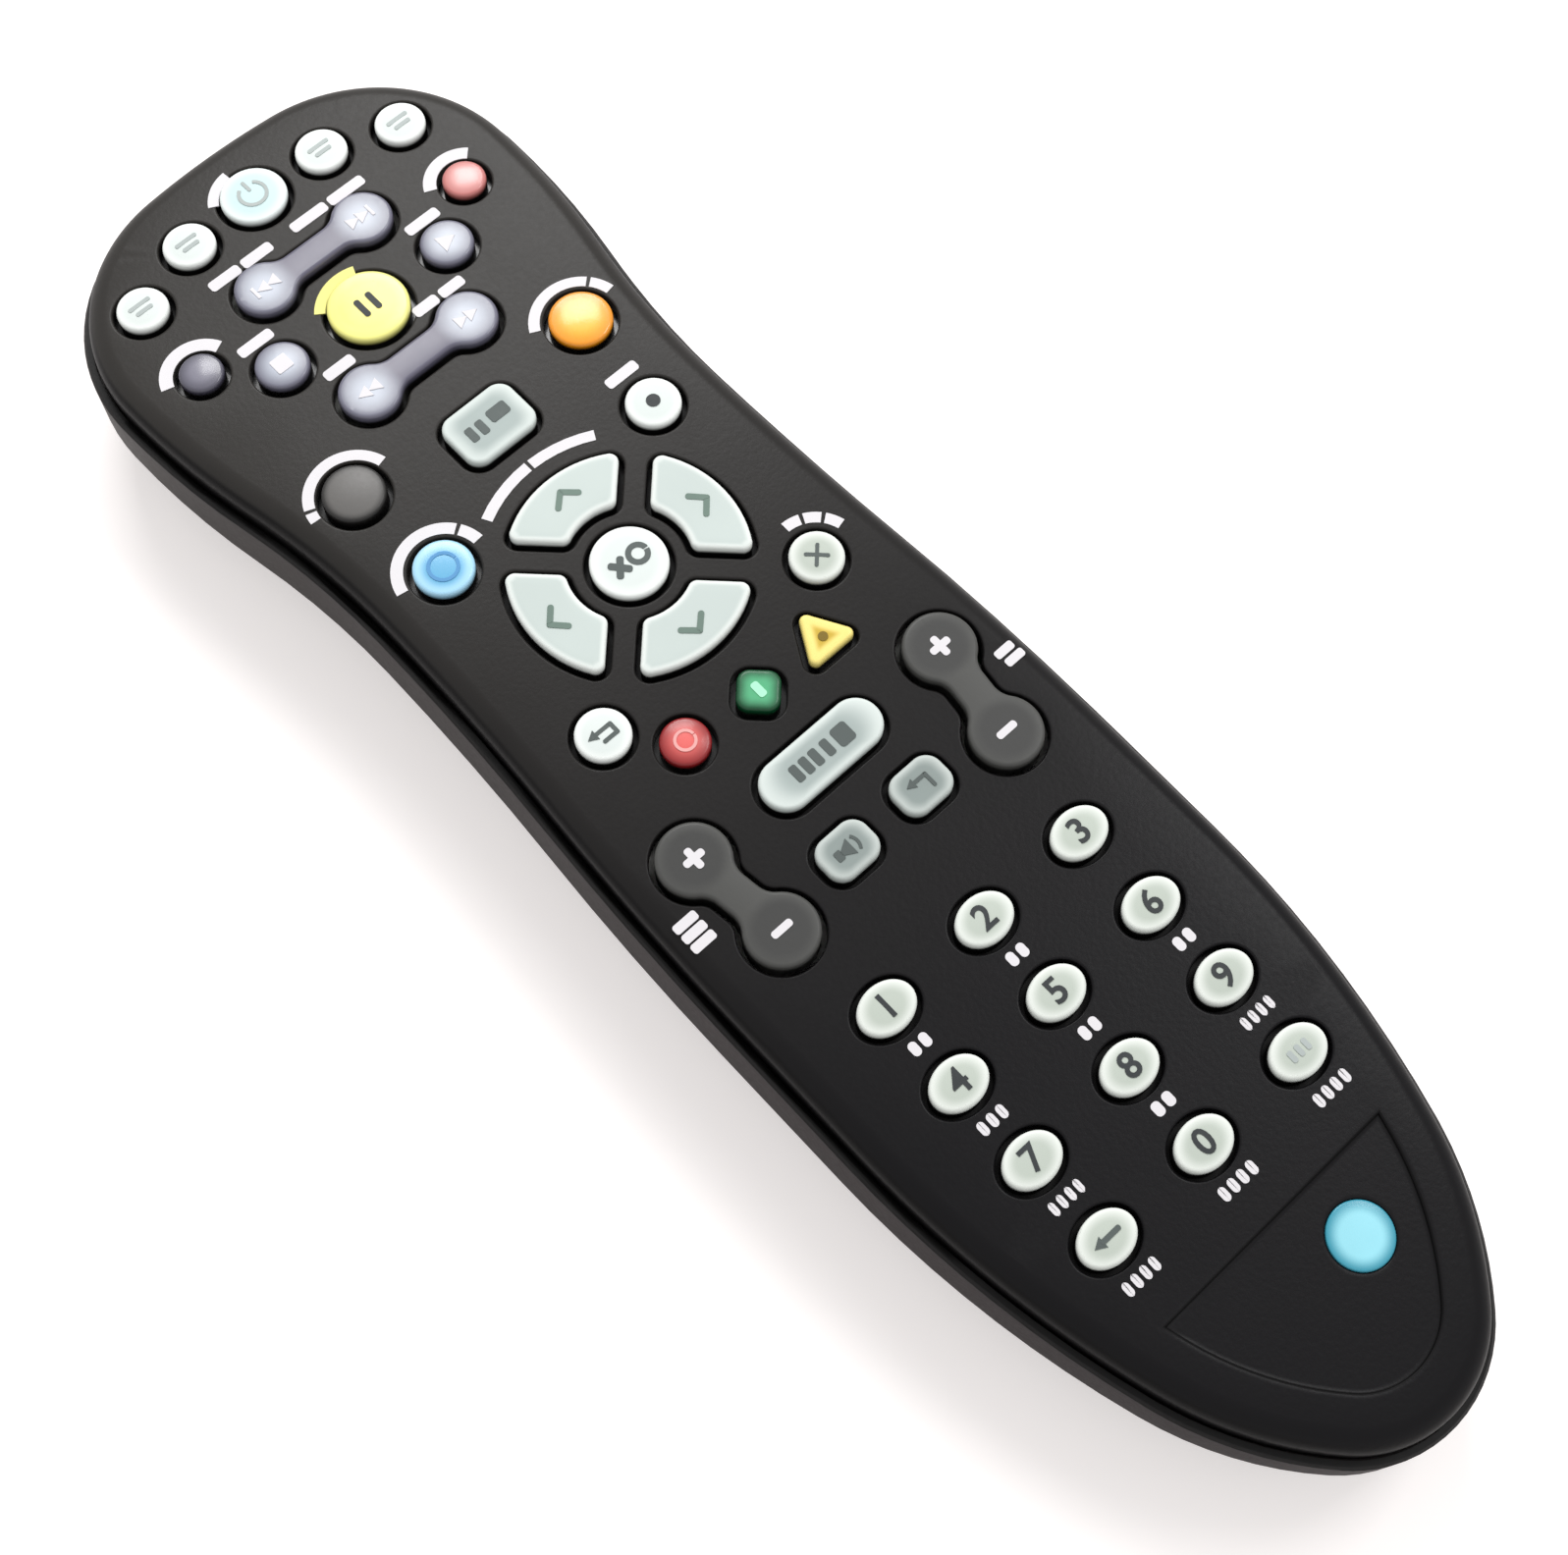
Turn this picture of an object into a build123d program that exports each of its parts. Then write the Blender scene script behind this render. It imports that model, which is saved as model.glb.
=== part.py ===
"""Remote control for a television box, as its separate moulded, stamped and bought pieces.

Millimetres. The case lies on its flat underside at z = 0, its head points to +Y, and the keys
face +Z. The origin is on the underside, at the middle of the length and the width.
"""

import os
from math import acos, asin, atan, ceil, cos, degrees, pi, radians, sin, sqrt, tan

from build123d import *

os.makedirs("parts", exist_ok=True)

# Case, as seen from above. Places along it are measured from its head end or its tail end
length = 232.0
head_end_y = length / 2
tail_end_y = -length / 2
belly_width = 63.2
belly_y = tail_end_y + 69.5
belly_length = 21.5
flank_radius = 150.0
flank_turn = 17.0
tail_corner_radius = 50.0
waist_width = 58.2
waist_y = head_end_y - 73.5
head_width = 67.8
head_y = head_end_y - 26.0
head_corner_radius = 25.6

# Case, as seen from the side
thickness = 27.0
crown_radius = 1540.0
crown_strips = 8
bottom_roll_width = 8.0
bottom_roll_height = 11.0

# Shells
lower_wall = 2.0
upper_wall = 1.8
rim_width = 1.1
rim_edge = 0.4
seam_gap = 0.3
seam_drop = 5.0
seam_lap = 1.5
upper_bevel = 2.2
inner_bevel = 1.2

# Keys
key_height = 1.3
key_gap = 0.7
key_travel = 0.8
flange_width = 1.2
flange_thickness = 0.7
flange_gap = 0.2
flange_corner = 0.29
round_sides = 18
ring_sides = 16
chord_depth = 0.08
pad_gap = 0.15
pad_size = 3.4

# Round keys: x, distance from the head end, and diameter
power_key_size = 9.2
inner_device_key_size = 7.2
outer_device_key_size = 7.0
outer_device_key_x = head_width / 4 + 5.05
round_keys = {
    "power_key": (0.0, 12.7, power_key_size),
    "device_key_1": (-outer_device_key_x, 17.1, outer_device_key_size),
    "device_key_2": (-11.3, 13.2, inner_device_key_size),
    "device_key_3": (11.3, 13.2, inner_device_key_size),
    "device_key_4": (outer_device_key_x, 17.1, outer_device_key_size),
    "list_key": (-22.4, 30.3, 6.0),
    "record_key": (22.4, 30.3, 6.0),
    "stop_key": (-14.0, 36.7, 7.3),
    "play_key": (14.0, 36.7, 7.3),
    "pause_key": (0.0, 37.3, 11.1),
    "library_key": (-19.2, 57.9, 8.4),
    "recordings_key": (19.2, 57.9, 8.6),
    "guide_key": (-17.7, 73.9, 8.0),
    "info_key": (17.7, 73.9, 7.4),
    "back_key": (-18.0, 104.5, 7.2),
    "exit_key": (18.0, 104.5, 7.2),
    "red_key": (-11.2, 112.0, 6.5),
}

# Ring of four direction keys around the select key
ring_y = head_end_y - 89.1
ring_outer_radius = 15.8
ring_inner_radius = 8.2
ring_half_gap = 2.2
ring_corner = 1.2
ring_flange_width = 1.1
select_key_size = 10.2

# Keys with their own outlines
menu_key_y = head_end_y - 61.9
menu_key_width = 11.2
menu_key_depth = 8.4
menu_key_corner = 2.2
green_key_y = head_end_y - 113.1
green_key_size = 5.6
green_key_corner = 1.7
yellow_key_x = 10.8
yellow_key_y = head_end_y - 113.2
yellow_key_radius = 4.8
yellow_key_corner = 0.9
source_key_y = head_end_y - 124.4
source_key_length = 18.6
source_key_width = 6.9
source_key_corner = 3.4
mute_key_x = 6.2
mute_key_y = head_end_y - 135.6
mute_key_width = 7.8
mute_key_depth = 6.1
mute_key_corner = 2.3

# Rocker keys: two round lobes joined by a waist
skip_rocker_y = head_end_y - 25.8
wind_rocker_y = head_end_y - 47.7
skip_lobe_radius = 4.2
skip_lobe_spacing = 16.4
skip_waist = 4.4
level_rocker_x = 19.8
level_rocker_y = head_end_y - 130.8
level_rocker_tilt = 7.5
level_lobe_radius = 4.8
level_lobe_spacing = 13.7
level_waist = 4.8
neck_radius = 3.2
rocker_bar_length = 2.6
rocker_angle = 3.5

# Number keys
number_columns = (-16.25, 0.0, 16.25)
number_first_y = head_end_y - 152.9
number_pitch = 12.2
number_rows = 4
number_key_width = 8.0
number_key_depth = 6.2

# Shallow panel at the tail, with a plain disc
panel_top_y = tail_end_y + 31.0
panel_margin = 8.0
panel_depth = 0.4
badge_x = 6.2
badge_y = tail_end_y + 22.7
badge_diameter = 8.5
badge_thickness = 0.9
badge_height = 0.2
badge_sides = 32

# Batteries, size AA, lying side by side
battery_radius = 7.25
battery_length = 50.5
nub_radius = 2.75
nub_length = 1.0
battery_gap = 0.2
battery_y = tail_end_y + 74.0
contact_room = 3.2
contact_sheet = 0.4
contact_width = 8.0
contact_height = 9.0
bay_wall = 0.9

# Battery cover
cover_thickness = 1.8
cover_gap = 0.25
cover_width = 35.0
cover_margin = 5.0
cover_corner = 3.0
cover_lip = 1.2
cover_clear = 0.4
tongue_width = 7.0
tongue_reach = 2.6
tongue_thickness = 1.2
tongue_spacing = 20.0
latch_width = 10.0
latch_height = 6.0
latch_thickness = 1.2
grip_width = 14.0
grip_depth = 0.5
grip_count = 4
grip_pitch = 2.4

# Circuit board and the silicone mat on it
board_thickness = 1.0
board_inset = 4.4
board_tail_y = tail_end_y + 35.0
rib_places = (head_end_y - 80.0, head_end_y - 28.0)
rib_length = 34.0
rib_thickness = 1.4
mat_thickness = 0.8
mat_inset = 1.0
chip_size = 9.0
chip_thickness = 1.4
chip_y = battery_y + 68.0
crystal_length = 10.5
crystal_width = 4.0
crystal_height = 3.0
crystal_y = battery_y + 52.0

# Infrared lamp and its window in the head
lamp_radius = 2.5
lamp_length = 8.0
lamp_z = 13.8
lamp_tip_y = head_end_y - 5.5
lead_size = 0.5
lead_spacing = 2.54
window_width = 18.0
window_bottom_z = 11.6
window_top_z = 15.6

# Screws that hold the two shells together
screw_x = (waist_width + head_width) / 4 - 9.5
screw_y = head_end_y - 44.5
screw_places = ((-screw_x, screw_y), (screw_x, screw_y), (0.0, tail_end_y + 19.0))
screw_head_radius = 2.7
screw_head_height = 1.8
screw_radius = 1.3
screw_length = 12.0
screw_sides = 12
screw_clearance = 0.3
screw_seat_z = 5.0
boss_radius = 4.3
boss_top_z = 11.5
post_radius = 3.2
post_clearance = 0.6

# Heights that follow from the stack inside the case
battery_axis_z = cover_thickness + cover_clear + battery_radius
bay_radius = battery_radius + battery_gap
bay_top_z = battery_axis_z + bay_radius + bay_wall
bay_length = battery_length + 2 * contact_room
board_z = bay_top_z
board_top_z = board_z + board_thickness
mat_top_z = board_top_z + mat_thickness
crown_axis_z = thickness - crown_radius
lid_inset = rim_width + seam_gap
battery_spacing = 2 * bay_radius
cover_length = bay_length + 2 * cover_margin
hinge_y = battery_y - cover_length / 2
recess_depth = cover_thickness + cover_gap
side_margin = 5.0
tongue_top = recess_depth + cover_clear + tongue_thickness
tongue_swing = sqrt(tongue_top**2 + tongue_reach**2) + cover_clear


def crown_height(y, drop=0.0):
    """Height at y of the crowned face, or of the surface that lies a drop below it."""
    return crown_axis_z + sqrt((crown_radius - drop) ** 2 - y**2)


def closing_turn(centre_x, reach, radius):
    """How far the last side arc turns before one arc across the centre line can close the end.

    The side arc has the given radius about a middle that lies centre_x to the right of the
    centre line, and the end of the case is the reach away from that middle.
    """
    end_radius = (centre_x**2 + reach**2 - radius**2) / (2 * (reach - radius))
    return degrees(atan((end_radius - reach) / centre_x))


def side_sweep(shift, run):
    """Radius and turn of two equal arcs that carry a side inwards by the shift over the run."""
    radius = (shift**2 + run**2) / (4 * shift)
    return radius, degrees(asin(run / (2 * radius)))


def plan_outline(inset):
    """Case outline from above, drawn in by the inset: a long round tail, a waist, a full head."""
    belly, waist, head = belly_width / 2, waist_width / 2, head_width / 2
    belly_top_y = belly_y + belly_length
    turned = radians(flank_turn)
    step = flank_radius - tail_corner_radius
    tail_centre_x = belly - flank_radius + step * cos(turned)
    tail_reach = belly_y - tail_end_y - step * sin(turned)
    tail_turn = closing_turn(tail_centre_x, tail_reach, tail_corner_radius)
    head_centre_x = head - head_corner_radius
    head_turn = closing_turn(head_centre_x, head_end_y - head_y, head_corner_radius)
    low_radius, low_turn = side_sweep(belly - waist, waist_y - belly_top_y)
    high_radius, high_turn = side_sweep(head - waist, head_y - waist_y)
    start = (belly - inset, belly_y)
    with BuildSketch() as plan:
        with BuildLine():
            flank = JernArc(start, (0, -1), flank_radius - inset, -flank_turn)
            tail = JernArc(flank @ 1, flank % 1, tail_corner_radius - inset, flank_turn - tail_turn)
            TangentArc(tail @ 1, (0, tail_end_y + inset), tangent=tail % 1)
            side = Line(start, (belly - inset, belly_top_y))
            low = JernArc(side @ 1, side % 1, low_radius - inset, low_turn)
            hip = JernArc(low @ 1, low % 1, low_radius + inset, -low_turn)
            high = JernArc(hip @ 1, hip % 1, high_radius + inset, -high_turn)
            shoulder = JernArc(high @ 1, high % 1, high_radius - inset, high_turn)
            corner = JernArc(shoulder @ 1, shoulder % 1, head_corner_radius - inset, head_turn)
            TangentArc(corner @ 1, (0, head_end_y - inset), tangent=corner % 1)
            mirror(about=Plane.YZ)
        make_face()
    return plan.sketch


def below_crown(drop):
    """Everything under the crowned face, in strips that follow it, or under a drop below it."""
    end_y = head_end_y + side_margin
    steps = [end_y * (2 * step / crown_strips - 1) for step in range(crown_strips + 1)]
    crest = [(y, crown_height(y, drop)) for y in steps]
    with BuildPart() as block:
        with BuildSketch(Plane.YZ):
            with BuildLine():
                Polyline(*crest, (end_y, -side_margin), (-end_y, -side_margin), close=True)
            make_face()
        extrude(amount=head_width, both=True)
    return block.part


def tub_block(inset, rise):
    """The case outline over its underside, with a bottom edge that rolls in to the flat.

    The roll is a quarter of an ellipse, drawn as two bevels that meet halfway along it.
    """
    roll_width, roll_height = bottom_roll_width - inset, bottom_roll_height - rise
    side_width = roll_width * tan(pi / 8)
    knee_height = roll_height * (1 - sin(pi / 4))
    knee_run = knee_height * sqrt(1 + (side_width / roll_height) ** 2)
    with BuildPart() as block:
        with BuildSketch(Plane.XY.offset(rise)):
            add(plan_outline(inset))
        extrude(amount=thickness)
        for across, up in ((side_width, roll_height), (roll_width - side_width, knee_run)):
            underside = block.faces().sort_by(Axis.Z)[0]
            chamfer(underside.edges(), across, up, reference=underside)
    return block.part


def top_edges(block):
    """The edges all round the crowned top."""
    level = block.edges().filter_by(lambda edge: abs(edge.tangent_at(0.5).Z) < sin(pi / 6))
    along = level.filter_by(Axis.X, reverse=True)
    split_drop = seam_drop + seam_lap
    return along.filter_by(
        lambda edge: edge.center().Z > crown_height(edge.center().Y, split_drop)
    )


def lid_block(inset, drop):
    """The case outline under its crown, before the top edge is rounded or bevelled."""
    with BuildPart() as block:
        with BuildSketch():
            add(plan_outline(inset))
        extrude(amount=2 * thickness)
        add(below_crown(drop), mode=Mode.INTERSECT)
    return block.part


def with_short_sides(face):
    """The same outline with each arc drawn as short chords that stay close to it."""
    wire = face.faces()[0].outer_wire()
    corners = []
    start = 0.0
    for edge in wire.order_edges():
        sides = 1
        if edge.geom_type == GeomType.CIRCLE:
            chord_turn = 2 * acos(1 - chord_depth / edge.radius)
            sides = ceil(edge.length / edge.radius / chord_turn)
        for side in range(sides):
            place = start + edge.length * side / sides
            corners.append(wire.position_at(place, position_mode=PositionMode.LENGTH))
        start += edge.length
    with BuildSketch() as outline:
        with BuildLine():
            Polyline(*corners, close=True)
        make_face()
    return outline.sketch


# Outlines of the keys. Each takes the amount by which its opening is larger than the key.
def oval_outline(x, y, width, depth):
    def outline(grow=0.0):
        """A round or oval face, with enough short sides to look smooth."""
        turns = [2 * pi * side / round_sides for side in range(round_sides)]
        rim = [((width / 2 + grow) * cos(t), (depth / 2 + grow) * sin(t)) for t in turns]
        with BuildSketch() as face:
            with Locations((x, y)):
                Polygon(*rim)
        return face.sketch

    return outline


def rounded_outline(x, y, width, depth, corner, turn=0.0):
    def outline(grow=0.0):
        with BuildSketch() as face:
            with Locations(Location((x, y, 0), (0, 0, turn))):
                RectangleRounded(width + 2 * grow, depth + 2 * grow, corner + grow)
        return with_short_sides(face.sketch)

    return outline


def triangle_outline(x, y, radius, corner):
    def outline(grow=0.0):
        with BuildSketch() as face:
            with Locations((x, y)):
                RegularPolygon(radius + 2 * grow, 3, rotation=90)
            fillet(face.vertices(), corner + grow)
        return with_short_sides(face.sketch)

    return outline


def ring_quarter(band, half_gap, corner, turn):
    """A quarter of a band round the ring's middle, between the arms of a diagonal cross."""
    arm = 4 * ring_outer_radius
    with BuildSketch() as face:
        add(band)
        Rectangle(arm, arm, rotation=45, align=(Align.MIN, Align.MIN), mode=Mode.INTERSECT)
        Rectangle(arm, 2 * half_gap, rotation=45, mode=Mode.SUBTRACT)
        Rectangle(arm, 2 * half_gap, rotation=-45, mode=Mode.SUBTRACT)
        if corner:
            fillet(face.vertices(), corner)
    with BuildSketch() as placed:
        with Locations(Location((0, ring_y, 0), (0, 0, turn))):
            add(face.sketch)
    return placed.sketch


def ring_outline(turn):
    def outline(grow=0.0):
        with BuildSketch() as band:
            Circle(ring_outer_radius + grow)
            Circle(ring_inner_radius - grow, mode=Mode.SUBTRACT)
        return with_short_sides(ring_quarter(band.sketch, ring_half_gap - grow, ring_corner, turn))

    return outline


def ring_flange(turn):
    """The straight-sided flange of a direction key."""
    with BuildSketch() as band:
        RegularPolygon(ring_outer_radius + ring_flange_width, ring_sides)
        RegularPolygon(ring_inner_radius - ring_flange_width, ring_sides, mode=Mode.SUBTRACT)
    return ring_quarter(band.sketch, ring_half_gap - ring_flange_width, 0, turn)


def rocker_outline(x, y, spacing, radius, waist, turn):
    """Two round lobes and a waist between them, joined by smooth necks."""

    def outline(grow=0.0):
        with BuildSketch() as face:
            with GridLocations(spacing, 0, 2, 1):
                Circle(radius + grow)
            Rectangle(spacing, waist + 2 * grow)
            inner = face.vertices().filter_by(lambda corner: abs(corner.X) < spacing / 2)
            fillet(inner, neck_radius - grow)
        with BuildSketch() as placed:
            with Locations(Location((x, y, 0), (0, 0, turn))):
                add(face.sketch)
        return with_short_sides(placed.sketch)

    return outline


def flange_plate(outline):
    """The hidden plate under a key, with its corners cut off, that keeps it in the case."""
    box = outline().bounding_box()
    width = box.size.X + 2 * flange_width
    depth = box.size.Y + 2 * flange_width
    with BuildSketch() as plate:
        with Locations(box.center()):
            Rectangle(width, depth)
        chamfer(plate.vertices(), flange_corner * min(width, depth))
    return plate.sketch


def ceiling_under(outline, margin):
    """The lowest height of the lid's inner face over a key that reaches out by the margin."""
    box = outline().bounding_box()
    return crown_height(max(abs(box.min.Y - margin), abs(box.max.Y + margin)), upper_wall)


def key_base_height(outline):
    """Height of a key's lower face."""
    return ceiling_under(outline, flange_width) - flange_gap - flange_thickness


def key_top_plane(outline):
    """The plane of a key's top, which leans with the crowned face around it."""
    middle = outline().bounding_box().center()
    top = crown_height(middle.Y, -key_height)
    return Plane(origin=(middle.X, middle.Y, top), z_dir=(0, middle.Y, top - crown_axis_z))


def make_key(outline, flange):
    """A key cap that stands out of the crowned face, with its flange inside the case."""
    base_z = key_base_height(outline)
    with BuildPart() as key:
        with BuildSketch(Plane.XY.offset(base_z)):
            add(outline())
        extrude(amount=thickness)
        split(bisect_by=key_top_plane(outline), keep=Keep.BOTTOM)
        with BuildSketch(Plane.XY.offset(base_z)):
            add(flange)
        extrude(amount=flange_thickness)
    return key


# Every key: its outline, its flange, and where the mat pushes it back up
keys = {}
for name, (x, reach, size) in round_keys.items():
    y = head_end_y - reach
    outline = oval_outline(x, y, size, size)
    keys[name] = (outline, flange_plate(outline), [(x, y)])

ring_middle = (ring_outer_radius + ring_inner_radius) / 2
for name, turn in (("up_key", 0), ("left_key", 90), ("down_key", 180), ("right_key", 270)):
    outline = ring_outline(turn)
    pad = (-ring_middle * sin(radians(turn)), ring_y + ring_middle * cos(radians(turn)))
    keys[name] = (outline, ring_flange(turn), [pad])
outline = oval_outline(0, ring_y, select_key_size, select_key_size)
keys["select_key"] = (outline, flange_plate(outline), [(0, ring_y)])

outline = rounded_outline(0, menu_key_y, menu_key_width, menu_key_depth, menu_key_corner)
keys["menu_key"] = (outline, flange_plate(outline), [(0, menu_key_y)])
outline = rounded_outline(0, green_key_y, green_key_size, green_key_size, green_key_corner, 45)
keys["green_key"] = (outline, flange_plate(outline), [(0, green_key_y)])
outline = triangle_outline(yellow_key_x, yellow_key_y, yellow_key_radius, yellow_key_corner)
keys["yellow_key"] = (outline, flange_plate(outline), [(yellow_key_x, yellow_key_y)])
outline = rounded_outline(
    0, source_key_y, source_key_length, source_key_width, source_key_corner
)
keys["source_key"] = (outline, flange_plate(outline), [(0, source_key_y)])
for name, side in (("mute_key", -1), ("last_key", 1)):
    x = side * mute_key_x
    outline = rounded_outline(x, mute_key_y, mute_key_width, mute_key_depth, mute_key_corner)
    keys[name] = (outline, flange_plate(outline), [(x, mute_key_y)])

number_names = (
    ("key_1", "key_2", "key_3"),
    ("key_4", "key_5", "key_6"),
    ("key_7", "key_8", "key_9"),
    ("delete_key", "key_0", "enter_key"),
)
for row in range(number_rows):
    for column, x in enumerate(number_columns):
        y = number_first_y - row * number_pitch
        outline = oval_outline(x, y, number_key_width, number_key_depth)
        keys[number_names[row][column]] = (outline, flange_plate(outline), [(x, y)])

# Rocker keys: middle, lobe spacing, lobe radius, waist and turn
rockers = {
    "skip_rocker": (0, skip_rocker_y, skip_lobe_spacing, skip_lobe_radius, skip_waist, 0),
    "wind_rocker": (0, wind_rocker_y, skip_lobe_spacing, skip_lobe_radius, skip_waist, 0),
    "volume_rocker": (
        -level_rocker_x,
        level_rocker_y,
        level_lobe_spacing,
        level_lobe_radius,
        level_waist,
        90 + level_rocker_tilt,
    ),
    "channel_rocker": (
        level_rocker_x,
        level_rocker_y,
        level_lobe_spacing,
        level_lobe_radius,
        level_waist,
        90 - level_rocker_tilt,
    ),
}
for name, (x, y, spacing, radius, waist, turn) in rockers.items():
    outline = rocker_outline(x, y, spacing, radius, waist, turn)
    with BuildSketch() as bar:
        with Locations(Location((x, y, 0), (0, 0, turn))):
            Rectangle(rocker_bar_length, waist + 2 * flange_width)
    reach = spacing / 2
    pads = [
        (x + side * reach * cos(radians(turn)), y + side * reach * sin(radians(turn)))
        for side in (-1, 1)
    ]
    keys[name] = (outline, bar.sketch, pads)

for name, (outline, flange, pads) in keys.items():
    key = make_key(outline, flange)
    key.part.label = name
    export_step(key.part, f"parts/{name}.step")


# Upper housing: a crowned lid with rolled edges, an opening for every key and screw posts
with BuildPart() as lid_outside:
    add(lid_block(lid_inset, 0))
    chamfer(top_edges(lid_outside), upper_bevel)

with BuildPart() as lid_inside:
    add(lid_block(lid_inset + upper_wall, upper_wall))
    chamfer(top_edges(lid_inside), inner_bevel)

with BuildPart() as posts:
    with BuildSketch(Plane.XY.offset(boss_top_z)):
        with Locations(*screw_places):
            RegularPolygon(post_radius, round_sides)
    extrude(amount=thickness)
    add(below_crown(upper_wall / 2), mode=Mode.INTERSECT)

with BuildPart() as tail_panel:
    with BuildSketch():
        add(plan_outline(panel_margin))
        with Locations((0, panel_top_y)):
            Rectangle(head_width, length, align=(Align.CENTER, Align.MAX), mode=Mode.INTERSECT)
    extrude(amount=2 * thickness)
    add(below_crown(panel_depth), mode=Mode.SUBTRACT)

badge_floor_z = crown_height(badge_y, panel_depth) + badge_height - badge_thickness

with BuildPart() as upper_housing:
    add(lid_outside.part)
    add(lid_inside.part, mode=Mode.SUBTRACT)
    add(below_crown(seam_drop + seam_lap), mode=Mode.SUBTRACT)
    add(posts.part)
    with BuildSketch(Plane.XY.offset(thickness / 2)):
        for outline, flange, pads in keys.values():
            add(outline(key_gap))
    extrude(amount=thickness, mode=Mode.SUBTRACT)
    add(tail_panel.part, mode=Mode.SUBTRACT)
    with BuildSketch(Plane.XY.offset(badge_floor_z)):
        with Locations((badge_x, badge_y)):
            RegularPolygon(badge_diameter / 2 + seam_gap / 3, badge_sides)
    extrude(amount=thickness, mode=Mode.SUBTRACT)
    with BuildSketch(Plane.XY.offset(boss_top_z)):
        with Locations(*screw_places):
            RegularPolygon(screw_radius, screw_sides)
    extrude(amount=screw_seat_z + screw_length - boss_top_z, mode=Mode.SUBTRACT)
upper_housing.part.label = "upper_housing"
export_step(upper_housing.part, "parts/upper_housing.step")

with BuildPart() as badge_disc:
    with BuildSketch(Plane.XY.offset(badge_floor_z)):
        with Locations((badge_x, badge_y)):
            RegularPolygon(badge_diameter / 2, badge_sides)
    extrude(amount=badge_thickness)
badge_disc.part.label = "badge_disc"
export_step(badge_disc.part, "parts/badge_disc.step")


# Lower housing: a tub with a rounded bottom edge, a battery bay, bosses and board ribs
def bay_block(radius, bottom_z, run):
    """A bay for two cells side by side, open down to the bottom height."""
    with BuildPart() as bay:
        with BuildSketch(Plane.XZ.offset(-battery_y - run / 2)):
            with Locations((0, battery_axis_z)):
                SlotCenterToCenter(battery_spacing, 2 * radius)
            with Locations((0, bottom_z)):
                Rectangle(
                    battery_spacing + 2 * radius,
                    battery_axis_z - bottom_z,
                    align=(Align.CENTER, Align.MIN),
                )
        extrude(amount=run)
    return bay.part


def cover_outline(grow):
    """The battery cover from below, or the recess that is larger than it."""
    with BuildSketch() as outline:
        with Locations((0, battery_y)):
            RectangleRounded(cover_width + 2 * grow, cover_length + 2 * grow, cover_corner + grow)
    return outline.sketch


with BuildPart() as tub_outside:
    add(tub_block(0, 0))
    add(below_crown(seam_drop), mode=Mode.INTERSECT)
    chamfer(top_edges(tub_outside), rim_edge)

with BuildPart() as tub_inside:
    add(tub_block(lower_wall, lower_wall))

with BuildPart() as supports:
    with BuildSketch():
        add(cover_outline(cover_gap + cover_lip))
    extrude(amount=recess_depth + cover_lip)
    add(bay_block(bay_radius + bay_wall, 0, bay_length + 2 * bay_wall))
    with BuildSketch():
        with Locations(*screw_places):
            RegularPolygon(boss_radius, round_sides)
    extrude(amount=boss_top_z)
    with BuildSketch():
        with Locations(*[(0, y) for y in rib_places]):
            Rectangle(rib_length, rib_thickness)
    extrude(amount=board_z)
    add(tub_outside.part, mode=Mode.INTERSECT)

with BuildPart() as window_block:
    with BuildSketch(Plane.XY.offset(window_bottom_z)):
        with Locations((0, head_end_y)):
            Rectangle(window_width, head_corner_radius)
    extrude(amount=window_top_z - window_bottom_z)

with BuildPart() as seam_step:
    with BuildSketch():
        add(plan_outline(rim_width))
    extrude(amount=2 * thickness)
    add(below_crown(seam_drop + seam_lap), mode=Mode.SUBTRACT)

tongue_places = [(side * tongue_spacing / 2, hinge_y) for side in (-1, 1)]
latch_y = hinge_y + cover_length

with BuildPart() as lower_housing:
    add(tub_outside.part)
    add(tub_inside.part, mode=Mode.SUBTRACT)
    add(supports.part)
    add(below_crown(seam_drop), mode=Mode.INTERSECT)
    add(seam_step.part, mode=Mode.SUBTRACT)
    add(window_block.part, mode=Mode.SUBTRACT)
    add(bay_block(bay_radius, 0, bay_length), mode=Mode.SUBTRACT)
    with BuildSketch():
        add(cover_outline(cover_gap))
    extrude(amount=recess_depth, mode=Mode.SUBTRACT)
    with BuildSketch(Plane.XY.offset(recess_depth)):
        with Locations(*tongue_places):
            Rectangle(tongue_width + 2 * cover_clear, 2 * tongue_swing)
    extrude(amount=tongue_swing, mode=Mode.SUBTRACT)
    with BuildSketch(Plane.XY.offset(recess_depth)):
        with Locations((0, latch_y)):
            Rectangle(latch_width + 2 * cover_clear, 2 * (latch_thickness + 2 * cover_clear))
    extrude(amount=latch_height, mode=Mode.SUBTRACT)
    with BuildSketch():
        with Locations(*screw_places):
            RegularPolygon(screw_head_radius + screw_clearance, screw_sides)
    extrude(amount=screw_seat_z, mode=Mode.SUBTRACT)
    with BuildSketch():
        with Locations(*screw_places):
            RegularPolygon(screw_radius + screw_clearance, screw_sides)
    extrude(amount=thickness, mode=Mode.SUBTRACT)
lower_housing.part.label = "lower_housing"
export_step(lower_housing.part, "parts/lower_housing.step")

with BuildPart() as infrared_window:
    add(tub_outside.part)
    add(tub_inside.part, mode=Mode.SUBTRACT)
    add(window_block.part, mode=Mode.INTERSECT)
infrared_window.part.label = "infrared_window"
export_step(infrared_window.part, "parts/infrared_window.step")


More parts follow.
